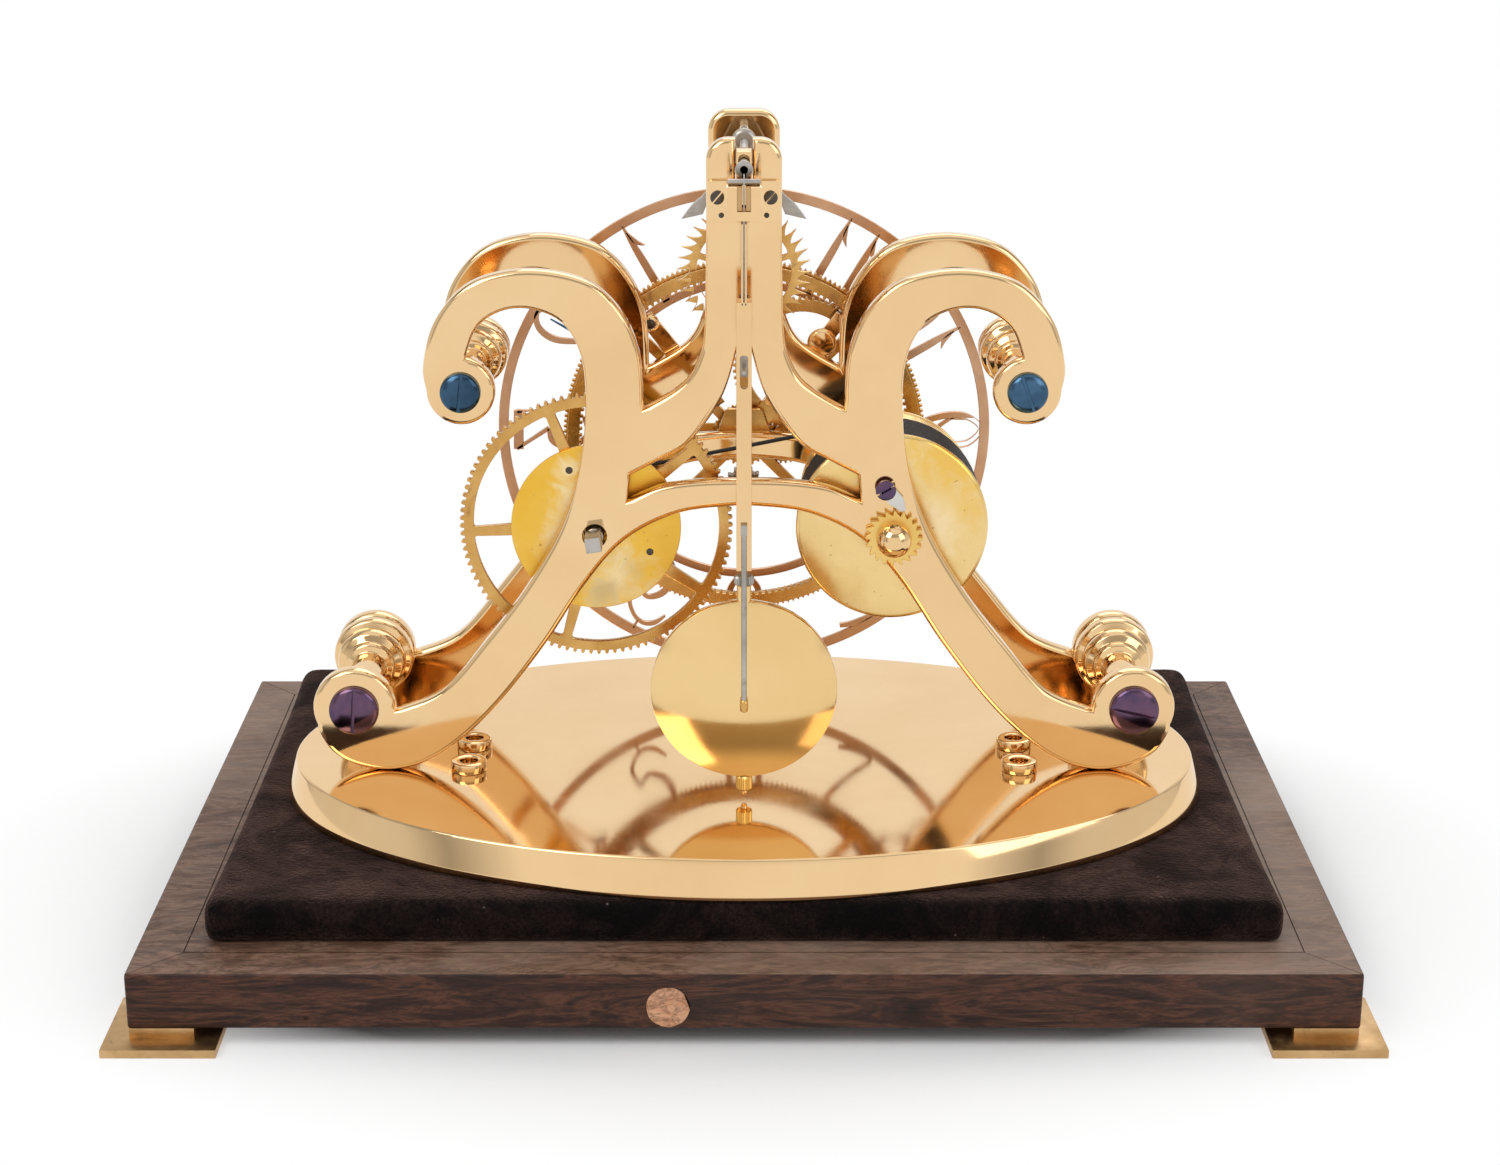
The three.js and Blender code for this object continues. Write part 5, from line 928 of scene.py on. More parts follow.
# Going train
def build_great_wheel():
    outline = gear(104, GREAT_PITCH, GREAT_RISE, 2.2, math.atan2(12, SIDE_X) + math.pi / 104)
    openings = spoke_openings(5, 9, GREAT_PITCH - 3.6, 4.2, math.radians(39), 20, 0.62)
    bore = circle(0, 0, 2.9)
    place = (-SIDE_X, SIDE_Z)
    wheel = flat("great_wheel_cut", [outline, bore] + openings, -15.6, -13.4, 0.12, 1, place)
    stand_for(wheel, "great_wheel")
    cap = flat("great_wheel_cap_disc", [circle(0, 0, 24.4, 120), bore], -17.0, -15.6, 0.2, 1, place)
    stand_for(cap, "great_wheel_cap", "cap")
    for name, x, z in (("cap_screw_upper", -7.4, 17.0), ("cap_screw_lower", 15.4, -7.4)):
        head = [(0, 0.4), (1.05, 0.4), (1.05, -0.12), (0, -0.18)]
        add_to(lathe(name, head, (-SIDE_X + x, -17.0, SIDE_Z + z), 24, 0.05), "great_wheel", "grey_steel",
               "screw_dark")


FUSEE_START = -13.1
FUSEE_LENGTH = 20
FUSEE_SMALL = 7.5
FUSEE_GROWTH = 11
FUSEE_PITCH = 4.2
GROOVE_HALF_WIDTH = 0.95
GROOVE_DEPTH = 0.75
LINE_RUN_Y = 4.0
LINE_ON_BARREL = 0.72
LINE_RADIUS = 0.6
BARREL_TURNS = 12.5
BARREL_WOUND = 26.3
FUSEE_LIFT = 0.8


def fusee_radius(y):
    share = min(max((y - FUSEE_START) / FUSEE_LENGTH, 0), 1)
    return FUSEE_SMALL + FUSEE_GROWTH * (1 - share) ** 1.2


LINE_SLOPE = math.asin((BARREL_WOUND - fusee_radius(LINE_RUN_Y) - FUSEE_LIFT) / (2 * SIDE_X))
LEAVE = math.pi / 2 + LINE_SLOPE


def fusee_surface(y, angle):
    """The fusee's radius at a level and an angle, with the helical groove that the line follows."""
    turns = (angle - LEAVE) / (2 * math.pi)
    away = (y - LINE_RUN_Y) / FUSEE_PITCH + turns
    distance = abs(away - round(away)) * FUSEE_PITCH
    groove = math.sqrt(max(0, 1 - (distance / GROOVE_HALF_WIDTH) ** 2)) * GROOVE_DEPTH
    return fusee_radius(y) - groove


def build_fusee():
    sides, last, body_rows = 96, FUSEE_START + FUSEE_LENGTH, 150
    flange = [(2.65, FUSEE_START), (21.2, FUSEE_START), (21.4, FUSEE_START + 0.2), (21.4, FUSEE_START + 1.0),
              (21.2, FUSEE_START + 1.2), (17.2, FUSEE_START + 1.2)]
    levels = [FUSEE_START + 1.3 + (FUSEE_LENGTH - 1.3) * i / body_rows for i in range(body_rows + 1)]
    verts = []
    for j in range(sides):
        angle = 2 * math.pi * j / sides
        column = flange + [(fusee_surface(y, angle), y) for y in levels]
        column += [(fusee_radius(last) - 0.6, last), (2.65, last)]
        verts += [(-SIDE_X + r * math.cos(angle), y, SIDE_Z + r * math.sin(angle)) for r, y in column]
    count = len(column)
    faces = []
    for j in range(sides):
        here, there = j * count, (j + 1) % sides * count
        for i in range(count):
            n = (i + 1) % count
            faces.append((here + i, here + n, there + n, there + i))
    stand_for(object_from("fusee_grooved", verts, faces, 1, math.radians(60)), "fusee")
    at = (-SIDE_X, 0, SIDE_Z)
    profile = [(0, -27), (2.4, -27), (2.6, -26.6), (2.6, 24.2), (1, 24.2), (1, 27.5), (0, 27.5)]
    square = block("square", (-2.2, -34.5, -2.2), (2.2, -25, 2.2), 0.35, 2)
    shaft = lathe("shaft", profile, at, 40, 0.1)
    stand_for(merged("fusee_arbor_squared", shaft, placed(square, -0.15, "Y", at)), "fusee_arbor")


def build_barrel():
    profile = [(2.9, 0), (26.7, 0), (27.6, 0.7), (27.6, 1.5), (25.5, 1.5), (25.5, 32.6), (25.9, 32.6),
               (25.9, 34), (2.9, 34), (2.9, 0)]
    barrel = lathe("barrel_turned", profile, (SIDE_X, -17.2, SIDE_Z), 128, 0)
    stand_for(eased_edges(barrel, 0.3), "barrel", "barrel")
    arbor = lathe("barrel_arbor_turned", bars(-29.8, (2.6, 24.2), (1, 27.5)), (SIDE_X, 0, SIDE_Z), 40, 0.1)
    stand_for(arbor, "barrel_arbor")
    outline = spun_teeth(20, ((0, 8.3), (0.04, 8.25), (0.16, 6.7), (0.3, 6.9), (0.6, 7.4), (0.85, 8.1)))
    ratchet = flat("ratchet_wheel_cut", [outline, circle(0, 0, 2.7)], -27.8, -25.8, 0.15, 1, (SIDE_X, SIDE_Z))
    stand_for(ratchet, "ratchet_wheel")
    dome = [(5.0 * math.cos(a), -1.8 - 4.8 * math.sin(a)) for a in map(math.radians, range(8, 88, 8))]
    dome = [(0, 0), (5.0, 0), (5.0, -1.8)] + dome + [(0, -6.6)]
    stand_for(lathe("dome_nut_turned", dome, (SIDE_X, -27.8, SIDE_Z), 64, 0.3), "dome_nut")


def build_click():
    x, z = 40.0, PLATE_FOOT + 86.2
    tip_angle = math.pi / 2 - 0.35
    tip = Vector((8.4 * math.cos(tip_angle) + SIDE_X - x, 8.4 * math.sin(tip_angle) + SIDE_Z - z))
    lean = math.atan2(tip.y, tip.x)
    side = Vector((-math.sin(lean), math.cos(lean)))
    outline = arc(0, 0, 2.2, lean + math.pi / 2, lean + 1.5 * math.pi, 20)
    outline += [tuple(tip * along + side * across) for along, across in
                ((0.5, -2.0), (1, -0.6), (1, 0.6), (0.6, 2.3))]
    click = flat("click_shaped", [outline, circle(0, 0, 1.5)], -27.2, -25.8, 0.15, 1, (x, z))
    stand_for(click, "click", "bright_steel")
    slotted_screw("click_screw_flat", "click_screw", (x, REAR_Y - 2.0, z), 2.9, 1.05, 1.2, 0.5, 0.5, 2.0, 0.6,
                  "screw_purple")


def line_centres():
    """The line's middle from the barrel's far end to the fusee's flange, and its radius at each point."""
    per_turn = 48
    barrel_face, fusee_face = -15.5, FUSEE_START + 1.2
    barrel_pitch = (barrel_face + 1.1 - LINE_RUN_Y) / BARREL_TURNS
    on_barrel = []
    for i in range(int(BARREL_TURNS * per_turn) + 1):
        x, z = polar(BARREL_WOUND, LEAVE - 2 * math.pi * i / per_turn)
        on_barrel.append(Vector((SIDE_X + x, LINE_RUN_Y + barrel_pitch * i / per_turn, SIDE_Z + z)))
    on_fusee = []
    steps = int((LINE_RUN_Y - fusee_face - 3.2) / FUSEE_PITCH * 24) * per_turn // 24
    for i in range(steps + 1):
        y = LINE_RUN_Y - FUSEE_PITCH * i / per_turn
        x, z = polar(fusee_radius(y) + FUSEE_LIFT, LEAVE + 2 * math.pi * i / per_turn)
        on_fusee.append(Vector((-SIDE_X + x, y, SIDE_Z + z)))
    last = on_fusee[-1]
    along = last - on_fusee[-2]
    along.y = 0
    along.normalize()
    to_face = Vector((0, math.copysign(1, fusee_face - last.y), 0))
    bend = [last + along * 1.6 * math.sin(a) + to_face * 1.6 * (1 - math.cos(a))
            for a in map(math.radians, (15, 30, 45, 60, 75, 90))]
    on_fusee += bend + [Vector((bend[-1].x, fusee_face, bend[-1].z))]
    radii = [LINE_ON_BARREL] * (len(on_barrel) - 3) + [LINE_RADIUS] * (len(on_fusee) + 3)
    return on_barrel[::-1] + on_fusee, radii


def build_line():
    stand_for(tube("fusee_line_round", *line_centres()), "fusee_line")


def build_centre():
    outline = gear(14, PINION_PITCH, GREAT_RISE, 1.6, math.atan2(12, SIDE_X) + math.pi, 0.4)
    leaves = flat("leaves", [outline], -15.9, -13.1, 0.1, 1, CENTRE)
    shaft = lathe("shaft", bars(-22.5, (1, -19.2), (1.6, 48), (1, 49.2)), (0, 0, CENTRE_Z), 32, 0.1)
    stand_for(merged("centre_arbor_leaved", shaft, leaves), "centre_arbor")
    x, z = polar(PLANET_ORBIT, PLANET_ANGLE)
    arm = arc(0, 0, 3, PLANET_ANGLE + math.pi / 2, PLANET_ANGLE + 1.5 * math.pi, 20)
    arm += arc(x, z, 3, PLANET_ANGLE - math.pi / 2, PLANET_ANGLE + math.pi / 2, 20)
    plate = flat("plate", [arm, circle(0, 0, 1.73)], PLANET_ARM_Y, PLANET_ARM_Y + 1.2, 0.15, 1, CENTRE)
    stud = lathe("stud", bars(0.1, (1.6, 3.5)), (x, PLANET_ARM_Y, CENTRE_Z + z), 32, 0.2)
    stand_for(merged("planet_arm_shaped", plate, stud), "planet_arm")
    outline = gear(65, PLANET_PITCH, ANNULUS_RISE, 1.9, PLANET_ANGLE)
    loops = [outline, circle(0, 0, 2.0)] + spoke_openings(4, 4.8, 16.4, 2.2, PLANET_ANGLE)
    wheel = flat("planet_wheel_cut", loops, ANNULUS_Y, ANNULUS_Y + 1.8, 0.12, 1, (x, CENTRE_Z + z))
    stand_for(wheel, "planet_wheel")


def build_bridge():
    half, top = 7.8, 5.5
    outline = [(-half, -3.6), (half, -3.6), (half, 3.6), (top, 10.4), (-top, 10.4), (-half, 3.6)]
    loops = [rounded(outline, 1.2, math.radians(20)), circle(0, 0, 1.9)]
    stand_for(flat("centre_bridge_shaped", loops, FRONT_OUTER_Y, 32.3, 0.25, 1, CENTRE), "centre_bridge")
    for side, degrees, reach, radius in (("left", 127, 46.2, 2.6), ("right", 53, 38.6, 4.4)):
        along = Vector(polar(1, math.radians(degrees)))
        outline = stroke([tuple(along * r) for r in (13.6, 30, 48.8)], (6.0, 5.2, 4.4))
        arm = flat("arm", [outline], 30.55, 32.25, 0.2, 1, CENTRE)
        profile = [(0, 0.6), (radius, 0.6), (radius, -0.5), (radius * 0.8, -1.4), (0, -1.6)]
        x, z = along * reach
        boss = lathe("boss", profile, (x, FRONT_OUTER_Y, CENTRE_Z + z), 40, 0.2)
        add_to(merged(f"bridge_arm_{side}", arm, boss), "base", "polished_brass")
        if side == "left":
            end = [(0, 0.5), (1.5, 0.5), (1.5, -0.4), (0, -0.5)]
            screw = lathe("bridge_screw_left", end, (x, 29.0, CENTRE_Z + z), 28, 0.1)
            add_to(screw, "base", "grey_steel", "screw_dark")


def build_epicyclic():
    inner = gear(156, ANNULUS_PITCH, -ANNULUS_RISE, 1.9, PLANET_ANGLE + math.pi / 156)
    ring = flat("ring", [circle(0, 0, 53.6, 160), inner], ANNULUS_Y, ANNULUS_Y + 1.8, 0.1, 1, CENTRE)
    profile = [(0, 0), (2, 0), (2, 0.8), (1.5, 1.2), (1.5, 3.0), (2, 3.4), (2, 4.05), (0, 4.05)]
    feet = []
    for degrees in (53, 127, 201, 339):
        x, z = polar(51.6, math.radians(degrees))
        feet.append(lathe("foot", profile, (x, FRONT_OUTER_Y, CENTRE_Z + z), 24, 0.1))
    stand_for(merged("annulus_cut", ring, *feet), "annulus")
    bore = circle(0, 0, 1.9)
    outline = gear(210, RING_PITCH, RING_RISE, 2.2, math.pi / 2 + math.pi / 210)
    loops = [outline, bore] + spoke_openings(4, 8, 50.1, 3, math.pi / 4, 30)
    ring = flat("ring", loops, RING_Y, RING_Y + 2, 0.1, 1, CENTRE)
    outline = gear(26, SUN_PITCH, ANNULUS_RISE, 1.6, PLANET_ANGLE)
    sun = flat("sun", [outline, bore], ANNULUS_Y, RING_Y + 0.05, 0.1, 1, CENTRE)
    stand_for(merged("ring_wheel_cut", ring, sun), "ring_wheel")


# Escapement
ESCAPE_TIP = 19.3
ESCAPE_TOOTH = ((0, 0), (0.25, 0.1), (0.5, 0.3), (0.7, 0.56), (0.84, 0.86), (0.9, 1.0), (0.9, 0.9),
                (0.88, 0.6), (0.9, 0.3), (0.95, 0.08))


def build_escape_wheel():
    root = 15.5
    outline = spun_teeth(36, [(share, root + up * (ESCAPE_TIP - root)) for share, up in ESCAPE_TOOTH])
    loops = [outline, circle(0, 0, 1.42)] + spoke_openings(5, 3, root - 1.8, 1.6, math.pi / 2, 10)
    stand_for(flat("escape_wheel_cut", loops, 8, 9.5, 0.1, 1, (0, ESCAPE_Z)), "escape_wheel")
    outline = gear(11, RING_PITCH * 11 / 210, RING_RISE, 1.6, -math.pi / 2)
    leaves = flat("leaves", [outline], RING_Y - 0.3, RING_Y + 2.3, 0.08, 1, (0, ESCAPE_Z))
    at = (0, 0, ESCAPE_Z)
    shaft = lathe("shaft", bars(-22.5, (1, -19.2), (1.3, 38.8)), at, 32, 0.1)
    collet = lathe("collet", [(0, 5.2), (2.6, 5.2), (3.4, 6.4), (3.4, 8.0), (0, 8.0)], at, 32, 0.2)
    stand_for(merged("escape_arbor_leaved", shaft, leaves, collet), "escape_arbor")


def build_pallets():
    reach, drop = 17.8, 22.4
    outer = ((0.16, -0.04), (0.42, 0.36), (0.62, 0.66), (0.82, 0.81), (1, 1))
    outer = spline([(x * reach, -z * drop) for x, z in outer], 5)
    nib_x = 0.66 * reach
    nib_z = ESCAPE_Z + math.sqrt((ESCAPE_TIP + 0.9) ** 2 - nib_x ** 2) - PALLET_Z
    inner = [(x * reach, -z * drop) for x, z in ((0.56, 0.76), (0.34, 0.52), (0.1, 0.24))]
    half = outer + [(nib_x, nib_z)] + spline([(nib_x, nib_z)] + inner, 5)[1:]
    outline = half + [(-x, z) for x, z in reversed(half)]
    blade = flat("blade", [outline], 7.7, 9.7, 0.15, 1, (0, PALLET_Z))
    at = (0, 0, PALLET_Z)
    hub = lathe("hub", [(0, 6.8), (2.6, 6.8), (3.4, 7.4), (3.4, 10.1), (0, 10.1)], at, 40, 0.2)
    stand_for(merged("anchor_shaped", blade, hub), "anchor")
    arbor = lathe("pallet_arbor_turned", bars(-39.1, (1.2, 27.2), (1, 29.5)), at, 32, 0.1)
    stand_for(arbor, "pallet_arbor")
    outline = [(-0.7, 0), (0.7, 0), (0.9, -50), (1.7, -51.5), (1.7, -57), (-1.7, -57), (-1.7, -51.5),
               (-0.9, -50)]
    strip = flat("strip", [outline], -39.1, -37.9, 0.12, 1, (0, PALLET_Z))
    collet = lathe("collet", bars(-39.1, (2.4, -37.9)), at, 40, 0.2)
    pin = lathe("pin", bars(-46.8, (0.6, -38.2)), (0, 0, PALLET_Z - 54), 20, 0.1)
    stand_for(merged("crutch_shaped", strip, collet, pin), "crutch")


def build_cock():
    z = PLATE_FOOT
    outline = rounded([(-10, z + 162.5), (10, z + 162.5), (10, z + 174), (-10, z + 174)], 0.6)
    plate = flat("back_cock_shaped", [outline], COCK_Y, REAR_Y, 0.25, 1)
    arm = block("arm", (-4.75, -49, z + 166.9), (4.75, REAR_Y, z + 176.2), 0.4)
    lug = block("lug", (-2.15, COCK_Y, z + 168), (2.15, REAR_Y, z + 182), 0.3)
    inner = block("inner", (-2.15, -25.8, z + 176.6), (2.15, -21, z + 182), 0.3)
    cock = boolean(plate, [arm, lug, inner], "UNION")
    notch_low, notch_high = z + 175.6, z + 177
    cock = boolean(cock, [
        block("slot", (-1.85, -41.8, z + 160), (1.85, -29.3, z + 180), 0.05, 1),
        block("chops", (-0.55, -48.4, z + 160), (0.55, -43.6, z + 180), 0.02, 1),
        block("face", (-1.85, -50, z + 169.5), (1.85, -48.2, z + 180), 0.1, 1),
        lathe("eye", bars(-30, (1.5, -18)), (0, 0, PALLET_Z), 32, 0),
        block("left_notch", (-3.6, -46.9, notch_low), (-2.0, -45.1, notch_high), 0.05, 1),
        block("right_notch", (2.0, -46.9, notch_low), (3.6, -45.1, notch_high), 0.05, 1),
    ])
    cock.name = "back_cock_shaped"
    stand_for(cock, "back_cock")
    chops = [block("chop", (low, -49.3, z + 169.8), (high, -48.1, z + 176), 0.1, 1)
             for low, high in ((-1.7, -0.5), (0.5, 1.7))]
    add_to(merged("spring_chop", *chops), "base", "aged_brass")
    for (side, sign), turn in zip(SIDES, (0.7, 0.75)):
        place = (sign * 7.3, COCK_Y, z + 169.4)
        slotted_screw(f"cock_screw_{side}_flat", f"cock_screw_{side}", place, 1.9, turn, 0.8, 0.5, 0.35, 2.0,
                      0.45, "screw_dark")
        profile = [(0, 0.5), (0.75, 0.5), (0.75, -0.2), (0, -0.3)]
        pin = lathe(f"steady_pin_{side}", profile, (sign * 6.2, COCK_Y, z + 164.5), 20, 0.1)
        add_to(pin, "base", "grey_steel", "screw_dark")
    pin = tube("cross_pin_round", [(x, PENDULUM_Y, z + 177.0) for x in (-4.4, -4.2, -2, 0, 2, 4.2, 4.4)],
               [0.5, 0.78, 0.8, 0.8, 0.8, 0.78, 0.5], 20)
    stand_for(pin, "cross_pin")
    spring = block("suspension_spring_strip", (-0.2, -48.1, 202.6), (0.2, -43.9, 223.4), 0.05, 1)
    stand_for(spring, "suspension_spring")


def knurled(name, radius, low, high, count, depth):
    bore, sides = 0.95, count * 2
    rows = [(bore, low), (radius - 0.5, low), (radius, low + 0.5), (radius, high - 0.5), (radius - 0.5, high),
            (bore, high)]
    verts = []
    for k in range(sides):
        for r, h in rows:
            x, y = polar(r - (depth if k % 2 and r > radius - 0.6 else 0), 2 * math.pi * k / sides)
            verts.append((x, PENDULUM_Y + y, h))
    n = len(rows)
    faces = []
    for k in range(sides):
        here, there = k * n, (k + 1) % sides * n
        faces += [(here + i, there + i, there + (i + 1) % n, here + (i + 1) % n) for i in range(n)]
    return object_from(name, verts, faces, None, math.radians(25))


def build_rod():
    z = PLATE_FOOT
    outline = [(-2.1, z + 68.5), (2.1, z + 68.5), (2.1, z + 145), (-2.1, z + 145)]
    slot = rounded([(-1.1, z + 120.6), (1.1, z + 120.6), (1.1, z + 129.8), (-1.1, z + 129.8)], 0.9)
    rod = flat("rod", [outline, slot], -46.8, -45.2, 0.2, 1)
    cheeks = []
    for a, b in ((-0.75, -0.22), (0.22, 0.75)):
        outline = [(a, z + 144), (b, z + 144), (b, z + 166.2), (a, z + 166.2)]
        cheeks.append(flat("cheek", [outline], -48.6, -43.4, 0.12, 1))
    shoulder = block("shoulder", (-2.1, -48.6, z + 143.4), (2.1, -43.4, z + 145), 0.3)
    profile = [(0, 1.6), (0.7, 1.6), (0.9, 2.0), (0.9, 24.8), (0, 24.8)]
    thread = lathe("thread", profile, (0, PENDULUM_Y, z), 20, 0.1, axis="Z")
    stand_for(merged("pendulum_rod_shaped", rod, *cheeks, shoulder, thread), "pendulum_rod")
    stand_for(knurled("rod_collar_knurled", 2.8, z + 64.4, z + 67.1, 28, 0.18), "rod_collar")
    stand_for(knurled("rating_nut_knurled", 2.3, z + 3.0, z + 7.32, 24, 0.16), "rating_nut")


def build_guard_rod():
    z = PLATE_FOOT
    top, low = Vector((0, -47.6, z + 80.8)), Vector((0, -54.8, z + 31))
    guard = tube("rod", [top.lerp(low, t / 12) for t in range(13)], [0.78] * 13, 14)
    clip = block("clip", (-0.9, -48.4, z + 79.3), (0.9, -46.8, z + 82.3), 0.15)
    stand_for(merged("guard_rod_round", guard, clip), "guard_rod")
    tip = tube("guard_rod_tip", [low + (top - low).normalized() * d for d in (-1.2, -0.9, 0, 0.9, 1.9, 2.2)],
               [0.5, 1.05, 1.2, 1.2, 1.05, 0.85], 16)
    add_to(tip, "pendulum", "wheel_brass")


def build_bob():
    radius, bulge = 26.2, 5.5
    dome = (radius ** 2 + bulge ** 2) / (2 * bulge)
    face = []
    for i in range(25):
        r = radius * math.sin(math.pi / 2 * i / 24)
        face.append((r, 7 - dome + math.sqrt(dome ** 2 - r * r)))
    back = [(r, -y) for r, y in face][::-1]
    profile = face[:-1] + [(26.0, 1.6), (radius, 1.2), (radius, -1.2), (26.0, -1.6)] + back[1:]
    lens = lathe("bob_turned", profile, (0, PENDULUM_Y, BOB_Z), 144, 0, math.radians(30))
    neck = lathe("neck", bars(-8, (2, 30.8)), (0, PENDULUM_Y, BOB_Z), 32, 0.25, axis="Z")
    stand_for(merged("bob_turned", lens, neck), "bob", "bob")


# Dial, motion work and hands. A digit is a list of strokes: points in a unit box, and widths along them.
DIAL_RINGS = ((75.2, 72.2), (47.4, 45))
DIGITS = {
    1: [([(0.5, -0.02), (0.5, 0.3), (0.5, 0.6), (0.51, 0.8), (0.5, 1.02)], (1.6, 1.5, 1.35, 0.95, 0.3)),
        ([(0.5, 0.93), (0.42, 0.82), (0.34, 0.76), (0.14, 0.69)], (0.3, 0.8, 0.75, 0.12))],
    2: [([(0.2, 0.66), (0.16, 0.84), (0.42, 1), (0.76, 0.9), (0.82, 0.66), (0.5, 0.34), (0.1, 0.05)],
         (0.9, 1, 0.9, 1.1, 1.2, 0.9, 0.8)), ([(0.04, 0.05), (0.5, 0.04), (0.96, 0.07)], (0.9, 1.1, 0.8))],
    3: [([(0.0, 0.86), (0.98, 0.87)], (1.85, 1.85)),
        ([(0.03, 0.88), (0.02, 0.8), (0.0, 0.7)], (0.8, 0.5, 0.12)),
        ([(0.98, 0.89), (0.72, 0.7), (0.45, 0.5)], (0.6, 0.7, 0.85)),
        ([(0.45, 0.5), (0.78, 0.46), (0.92, 0.26), (0.64, 0.05), (0.16, 0.08)], (0.8, 1.1, 1.3, 1, 0.7)),
        ([(0.5, 0.87), (0.5, 1.02)], (0.5, 0.5))],
    4: [([(0.7, 0), (0.7, 0.5), (0.7, 1), (0.38, 0.66), (0.04, 0.3), (0.5, 0.3), (1, 0.3)],
         (1.1, 1.1, 0.9, 0.8, 0.8, 1, 0.8))],
    5: [([(1.2, 0.69), (1.06, 0.83), (0.82, 0.9), (0.56, 0.88), (0.3, 0.78), (0.2, 0.68), (0.2, 0.5)],
         (0.35, 0.85, 0.8, 0.7, 0.75, 0.8, 0.7)),
        ([(0.2, 0.5), (0.56, 0.58), (0.86, 0.42), (0.8, 0.14), (0.42, 0.02), (0.1, 0.12)],
         (0.7, 0.9, 1.3, 1.2, 0.9, 0.5)), ([(0.66, 0.9), (0.66, 1.02)], (0.45, 0.45))],
    6: [([(0.84, 0.98), (0.44, 0.82), (0.16, 0.5), (0.14, 0.2), (0.46, 0), (0.84, 0.16), (0.82, 0.44),
          (0.5, 0.54), (0.2, 0.36)], (0.5, 0.9, 1.2, 1.2, 0.9, 1.2, 1.1, 0.8, 0.6))],
    7: [([(0.04, 0.9), (0.4, 0.96), (0.94, 0.95), (0.72, 0.66), (0.52, 0.34), (0.46, 0)],
         (0.8, 1, 0.8, 0.9, 1.1, 1.2))],
    8: [([(0.5, 0.54), (0.2, 0.74), (0.3, 0.95), (0.6, 0.98), (0.8, 0.8), (0.62, 0.62), (0.5, 0.54),
          (0.16, 0.36), (0.16, 0.12), (0.5, 0), (0.84, 0.14), (0.84, 0.36), (0.5, 0.54)],
         (0.8, 1, 0.9, 0.9, 1, 0.9, 0.8, 1.1, 1.1, 0.9, 1.1, 1.1, 0.8))],
    9: [([(0.16, 0.02), (0.56, 0.18), (0.84, 0.5), (0.86, 0.8), (0.54, 1), (0.16, 0.84), (0.18, 0.56),
          (0.5, 0.46), (0.8, 0.64)], (0.5, 0.9, 1.2, 1.2, 0.9, 1.2, 1.1, 0.8, 0.6))],
    0: [([(0.5, 0.0), (0.16, 0.2), (0.08, 0.5), (0.18, 0.82), (0.5, 1), (0.82, 0.82), (0.92, 0.5),
          (0.84, 0.2), (0.5, 0.0)], (0.8, 1, 1.2, 1, 0.8, 1, 1.2, 1, 0.8))],
}


def numeral_pieces(hour):
    digits = [int(d) for d in str(hour)]
    angle = math.pi / 6 * hour
    up = Vector((-math.sin(angle), math.cos(angle)))
    right = Vector((-math.cos(angle), -math.sin(angle)))
    low, high = 47.0, 72.6
    pieces = []
    for i, digit in enumerate(digits):
        width = 12.5 if len(digits) == 1 and digit > 1 else 8.2
        shift = 0 if len(digits) == 1 else (i - 0.5) * 9.6
        for points, widths in DIGITS[digit]:
            smooth = [(*p, w) for p, w in zip(points, widths)]
            if len(points) > 2:
                smooth = spline(smooth, 5)
            centre = [up * (low + v * (high - low)) + right * (shift + (u - 0.5) * width)
                      for u, v, _ in smooth]
            outline = stroke(centre, [PEN_WIDTH * w for _, _, w in smooth])
            pieces.append(flat("stroke", [outline], DIAL_Y, DIAL_BACK, 0.12, 1, CENTRE))
    return pieces


def build_dial():
    rings = [flat("ring", [circle(0, 0, radius, 160) for radius in pair], DIAL_Y, DIAL_BACK, 0.15, 1, CENTRE)
             for pair in DIAL_RINGS]
    profile = [(0, 0), (1.8, 0), (1.8, 1), (1.4, 1.6), (1.4, 12), (1.8, 12.6), (1.8, 13.85), (0, 13.85)]
    feet = [lathe("foot", profile, (x, FRONT_OUTER_Y, CENTRE_Z + z), 28, 0.1)
            for x, z in ((0, 73.7), (62.2, -39.5), (-62.2, -39.5))]
    strokes = [piece for hour in range(1, 13) for piece in numeral_pieces(hour)]
    stand_for(merged("chapter_ring_cut", *rings, *strokes, *feet), "chapter_ring")
    outline = [(-46.2, -2.5), (-6.0, -2.5)] + arc(0, 0, 6.4, math.radians(203), math.radians(337), 16)[1:-1]
    outline += [(6.0, -2.5), (46.2, -2.5), (46.2, 2.5), (6.0, 2.5)]
    outline += arc(0, 0, 6.4, math.radians(23), math.radians(157), 16)[1:-1] + [(-6.0, 2.5), (-46.2, 2.5)]
    bar = flat("bar", [outline, circle(0, 0, 3.3)], BAR_Y, BAR_Y + 1.4, 0.15, 1, CENTRE)
    stud = lathe("stud", bars(CANNON_Y, (0.9, BAR_Y + 0.1)), (12, 0, CENTRE_Z), 24, 0.1)
    stand_for(merged("dial_bar_shaped", bar, stud), "dial_bar")


def pipe(bore, radius, start, end, sides):
    profile = [(bore, start), (radius, start), (radius, end), (bore, end), (bore, start)]
    return lathe("pipe", profile, (0, 0, CENTRE_Z), sides, 0)


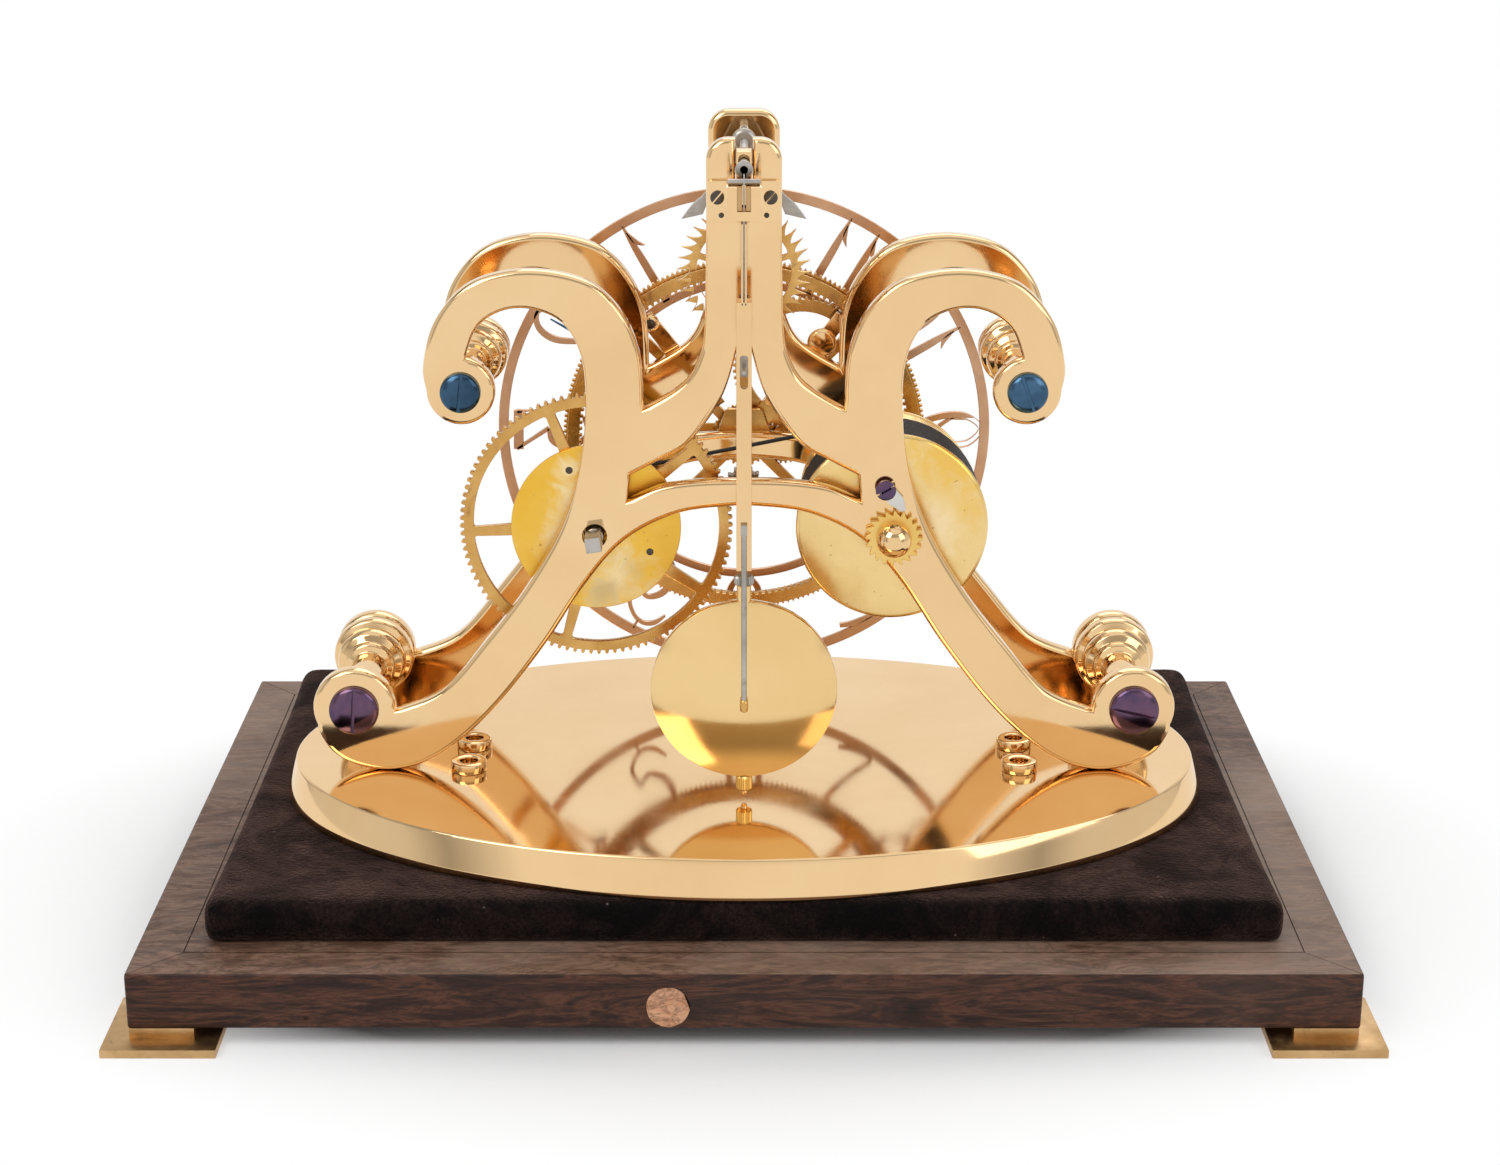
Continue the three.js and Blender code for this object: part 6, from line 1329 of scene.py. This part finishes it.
def build_motion():
    first, second = 24 / 48, 24 / 50
    thick, stud = 1.3, (12, CENTRE_Z)
    loops = [teeth(12, first * 6 + 0.3, first * 6 - 0.45), circle(0, 0, 1.73)]
    pinion = flat("pinion", loops, CANNON_Y, CANNON_Y + thick, 0.08, 1, CENTRE)
    cannon = pipe(1.73, 2.2, CANNON_Y, MINUTE_HAND_Y, 32)
    stand_for(merged("cannon_pinion_cut", pinion, cannon), "cannon_pinion")
    loops = [teeth(36, first * 18 + 0.1, first * 18 - 0.6, turn=math.pi / 36), circle(0, 0, 1.2)]
    loops += spoke_openings(4, 3.2, 6.6, 1.2, 0, 8)
    wheel = flat("wheel", loops, CANNON_Y, CANNON_Y + thick, 0.08, 1, stud)
    loops = [teeth(10, second * 5 + 0.2, second * 5 - 0.45), circle(0, 0, 1.2)]
    small = flat("small", loops, CANNON_Y + 1.2, CANNON_Y + 3.1, 0.08, 1, stud)
    stand_for(merged("minute_wheel_cut", wheel, small), "minute_wheel")
    loops = [teeth(40, second * 20 - 0.15, second * 20 - 0.75, turn=math.pi / 40), circle(0, 0, 2.5)]
    loops += spoke_openings(4, 4.0, 7.4, 1.4, 0.4, 8)
    hour = flat("hour", loops, HOUR_WHEEL_Y, HOUR_WHEEL_Y + thick, 0.08, 1, CENTRE)
    stand_for(merged("hour_wheel_cut", hour, pipe(2.5, 3, HOUR_WHEEL_Y, 47.0, 36)), "hour_wheel")


def hand(node_name, length, loop, bore, y, turn):
    """A pierced hand: its neck, a round loop two thirds of the way out, and a fine point."""
    middle = length * 0.66
    right = spline([(3.9, 1.2), (1.25, 5.5), (0.85, 12), (0.6, middle - loop - 1.2)])
    right += arc(0, middle, loop, -1.35, 1.35, 22)
    right += spline([(0.8, middle + loop + 0.4), (0.75, middle + loop + 3), (0.22, length)], 5)
    outline = right + [(-x, z) for x, z in reversed(right)]
    outline += arc(0, 0, 4, math.radians(163), math.radians(377), 30)[1:-1]
    loops = [outline, circle(0, 0, bore, 32), circle(0, middle, loop - 1.1, 32)]
    stand_for(flat(node_name + "_pierced", loops, y, y + 0.7, 0.12, 1, CENTRE, turn), node_name)


def build_hands():
    hand("minute_hand", 68, 3.4, 1.1, MINUTE_HAND_Y, -math.radians(60))
    hand("hour_hand", 44, 4.2, 3.2, HOUR_HAND_Y, math.radians(55))


build_camera()
build_floor()
build_world()
build_lamps()
build_plates()
build_pillars()
build_base()
build_pad()
build_plinth()
build_great_wheel()
build_fusee()
build_barrel()
build_click()
build_line()
build_centre()
build_bridge()
build_epicyclic()
build_escape_wheel()
build_pallets()
build_cock()
build_rod()
build_bob()
build_guard_rod()
build_dial()
build_motion()
build_hands()
for name, obj in frame["nodes"].items():
    obj.data.materials.clear()
    obj.data.materials.append(MATERIALS[SLOTS[name]])
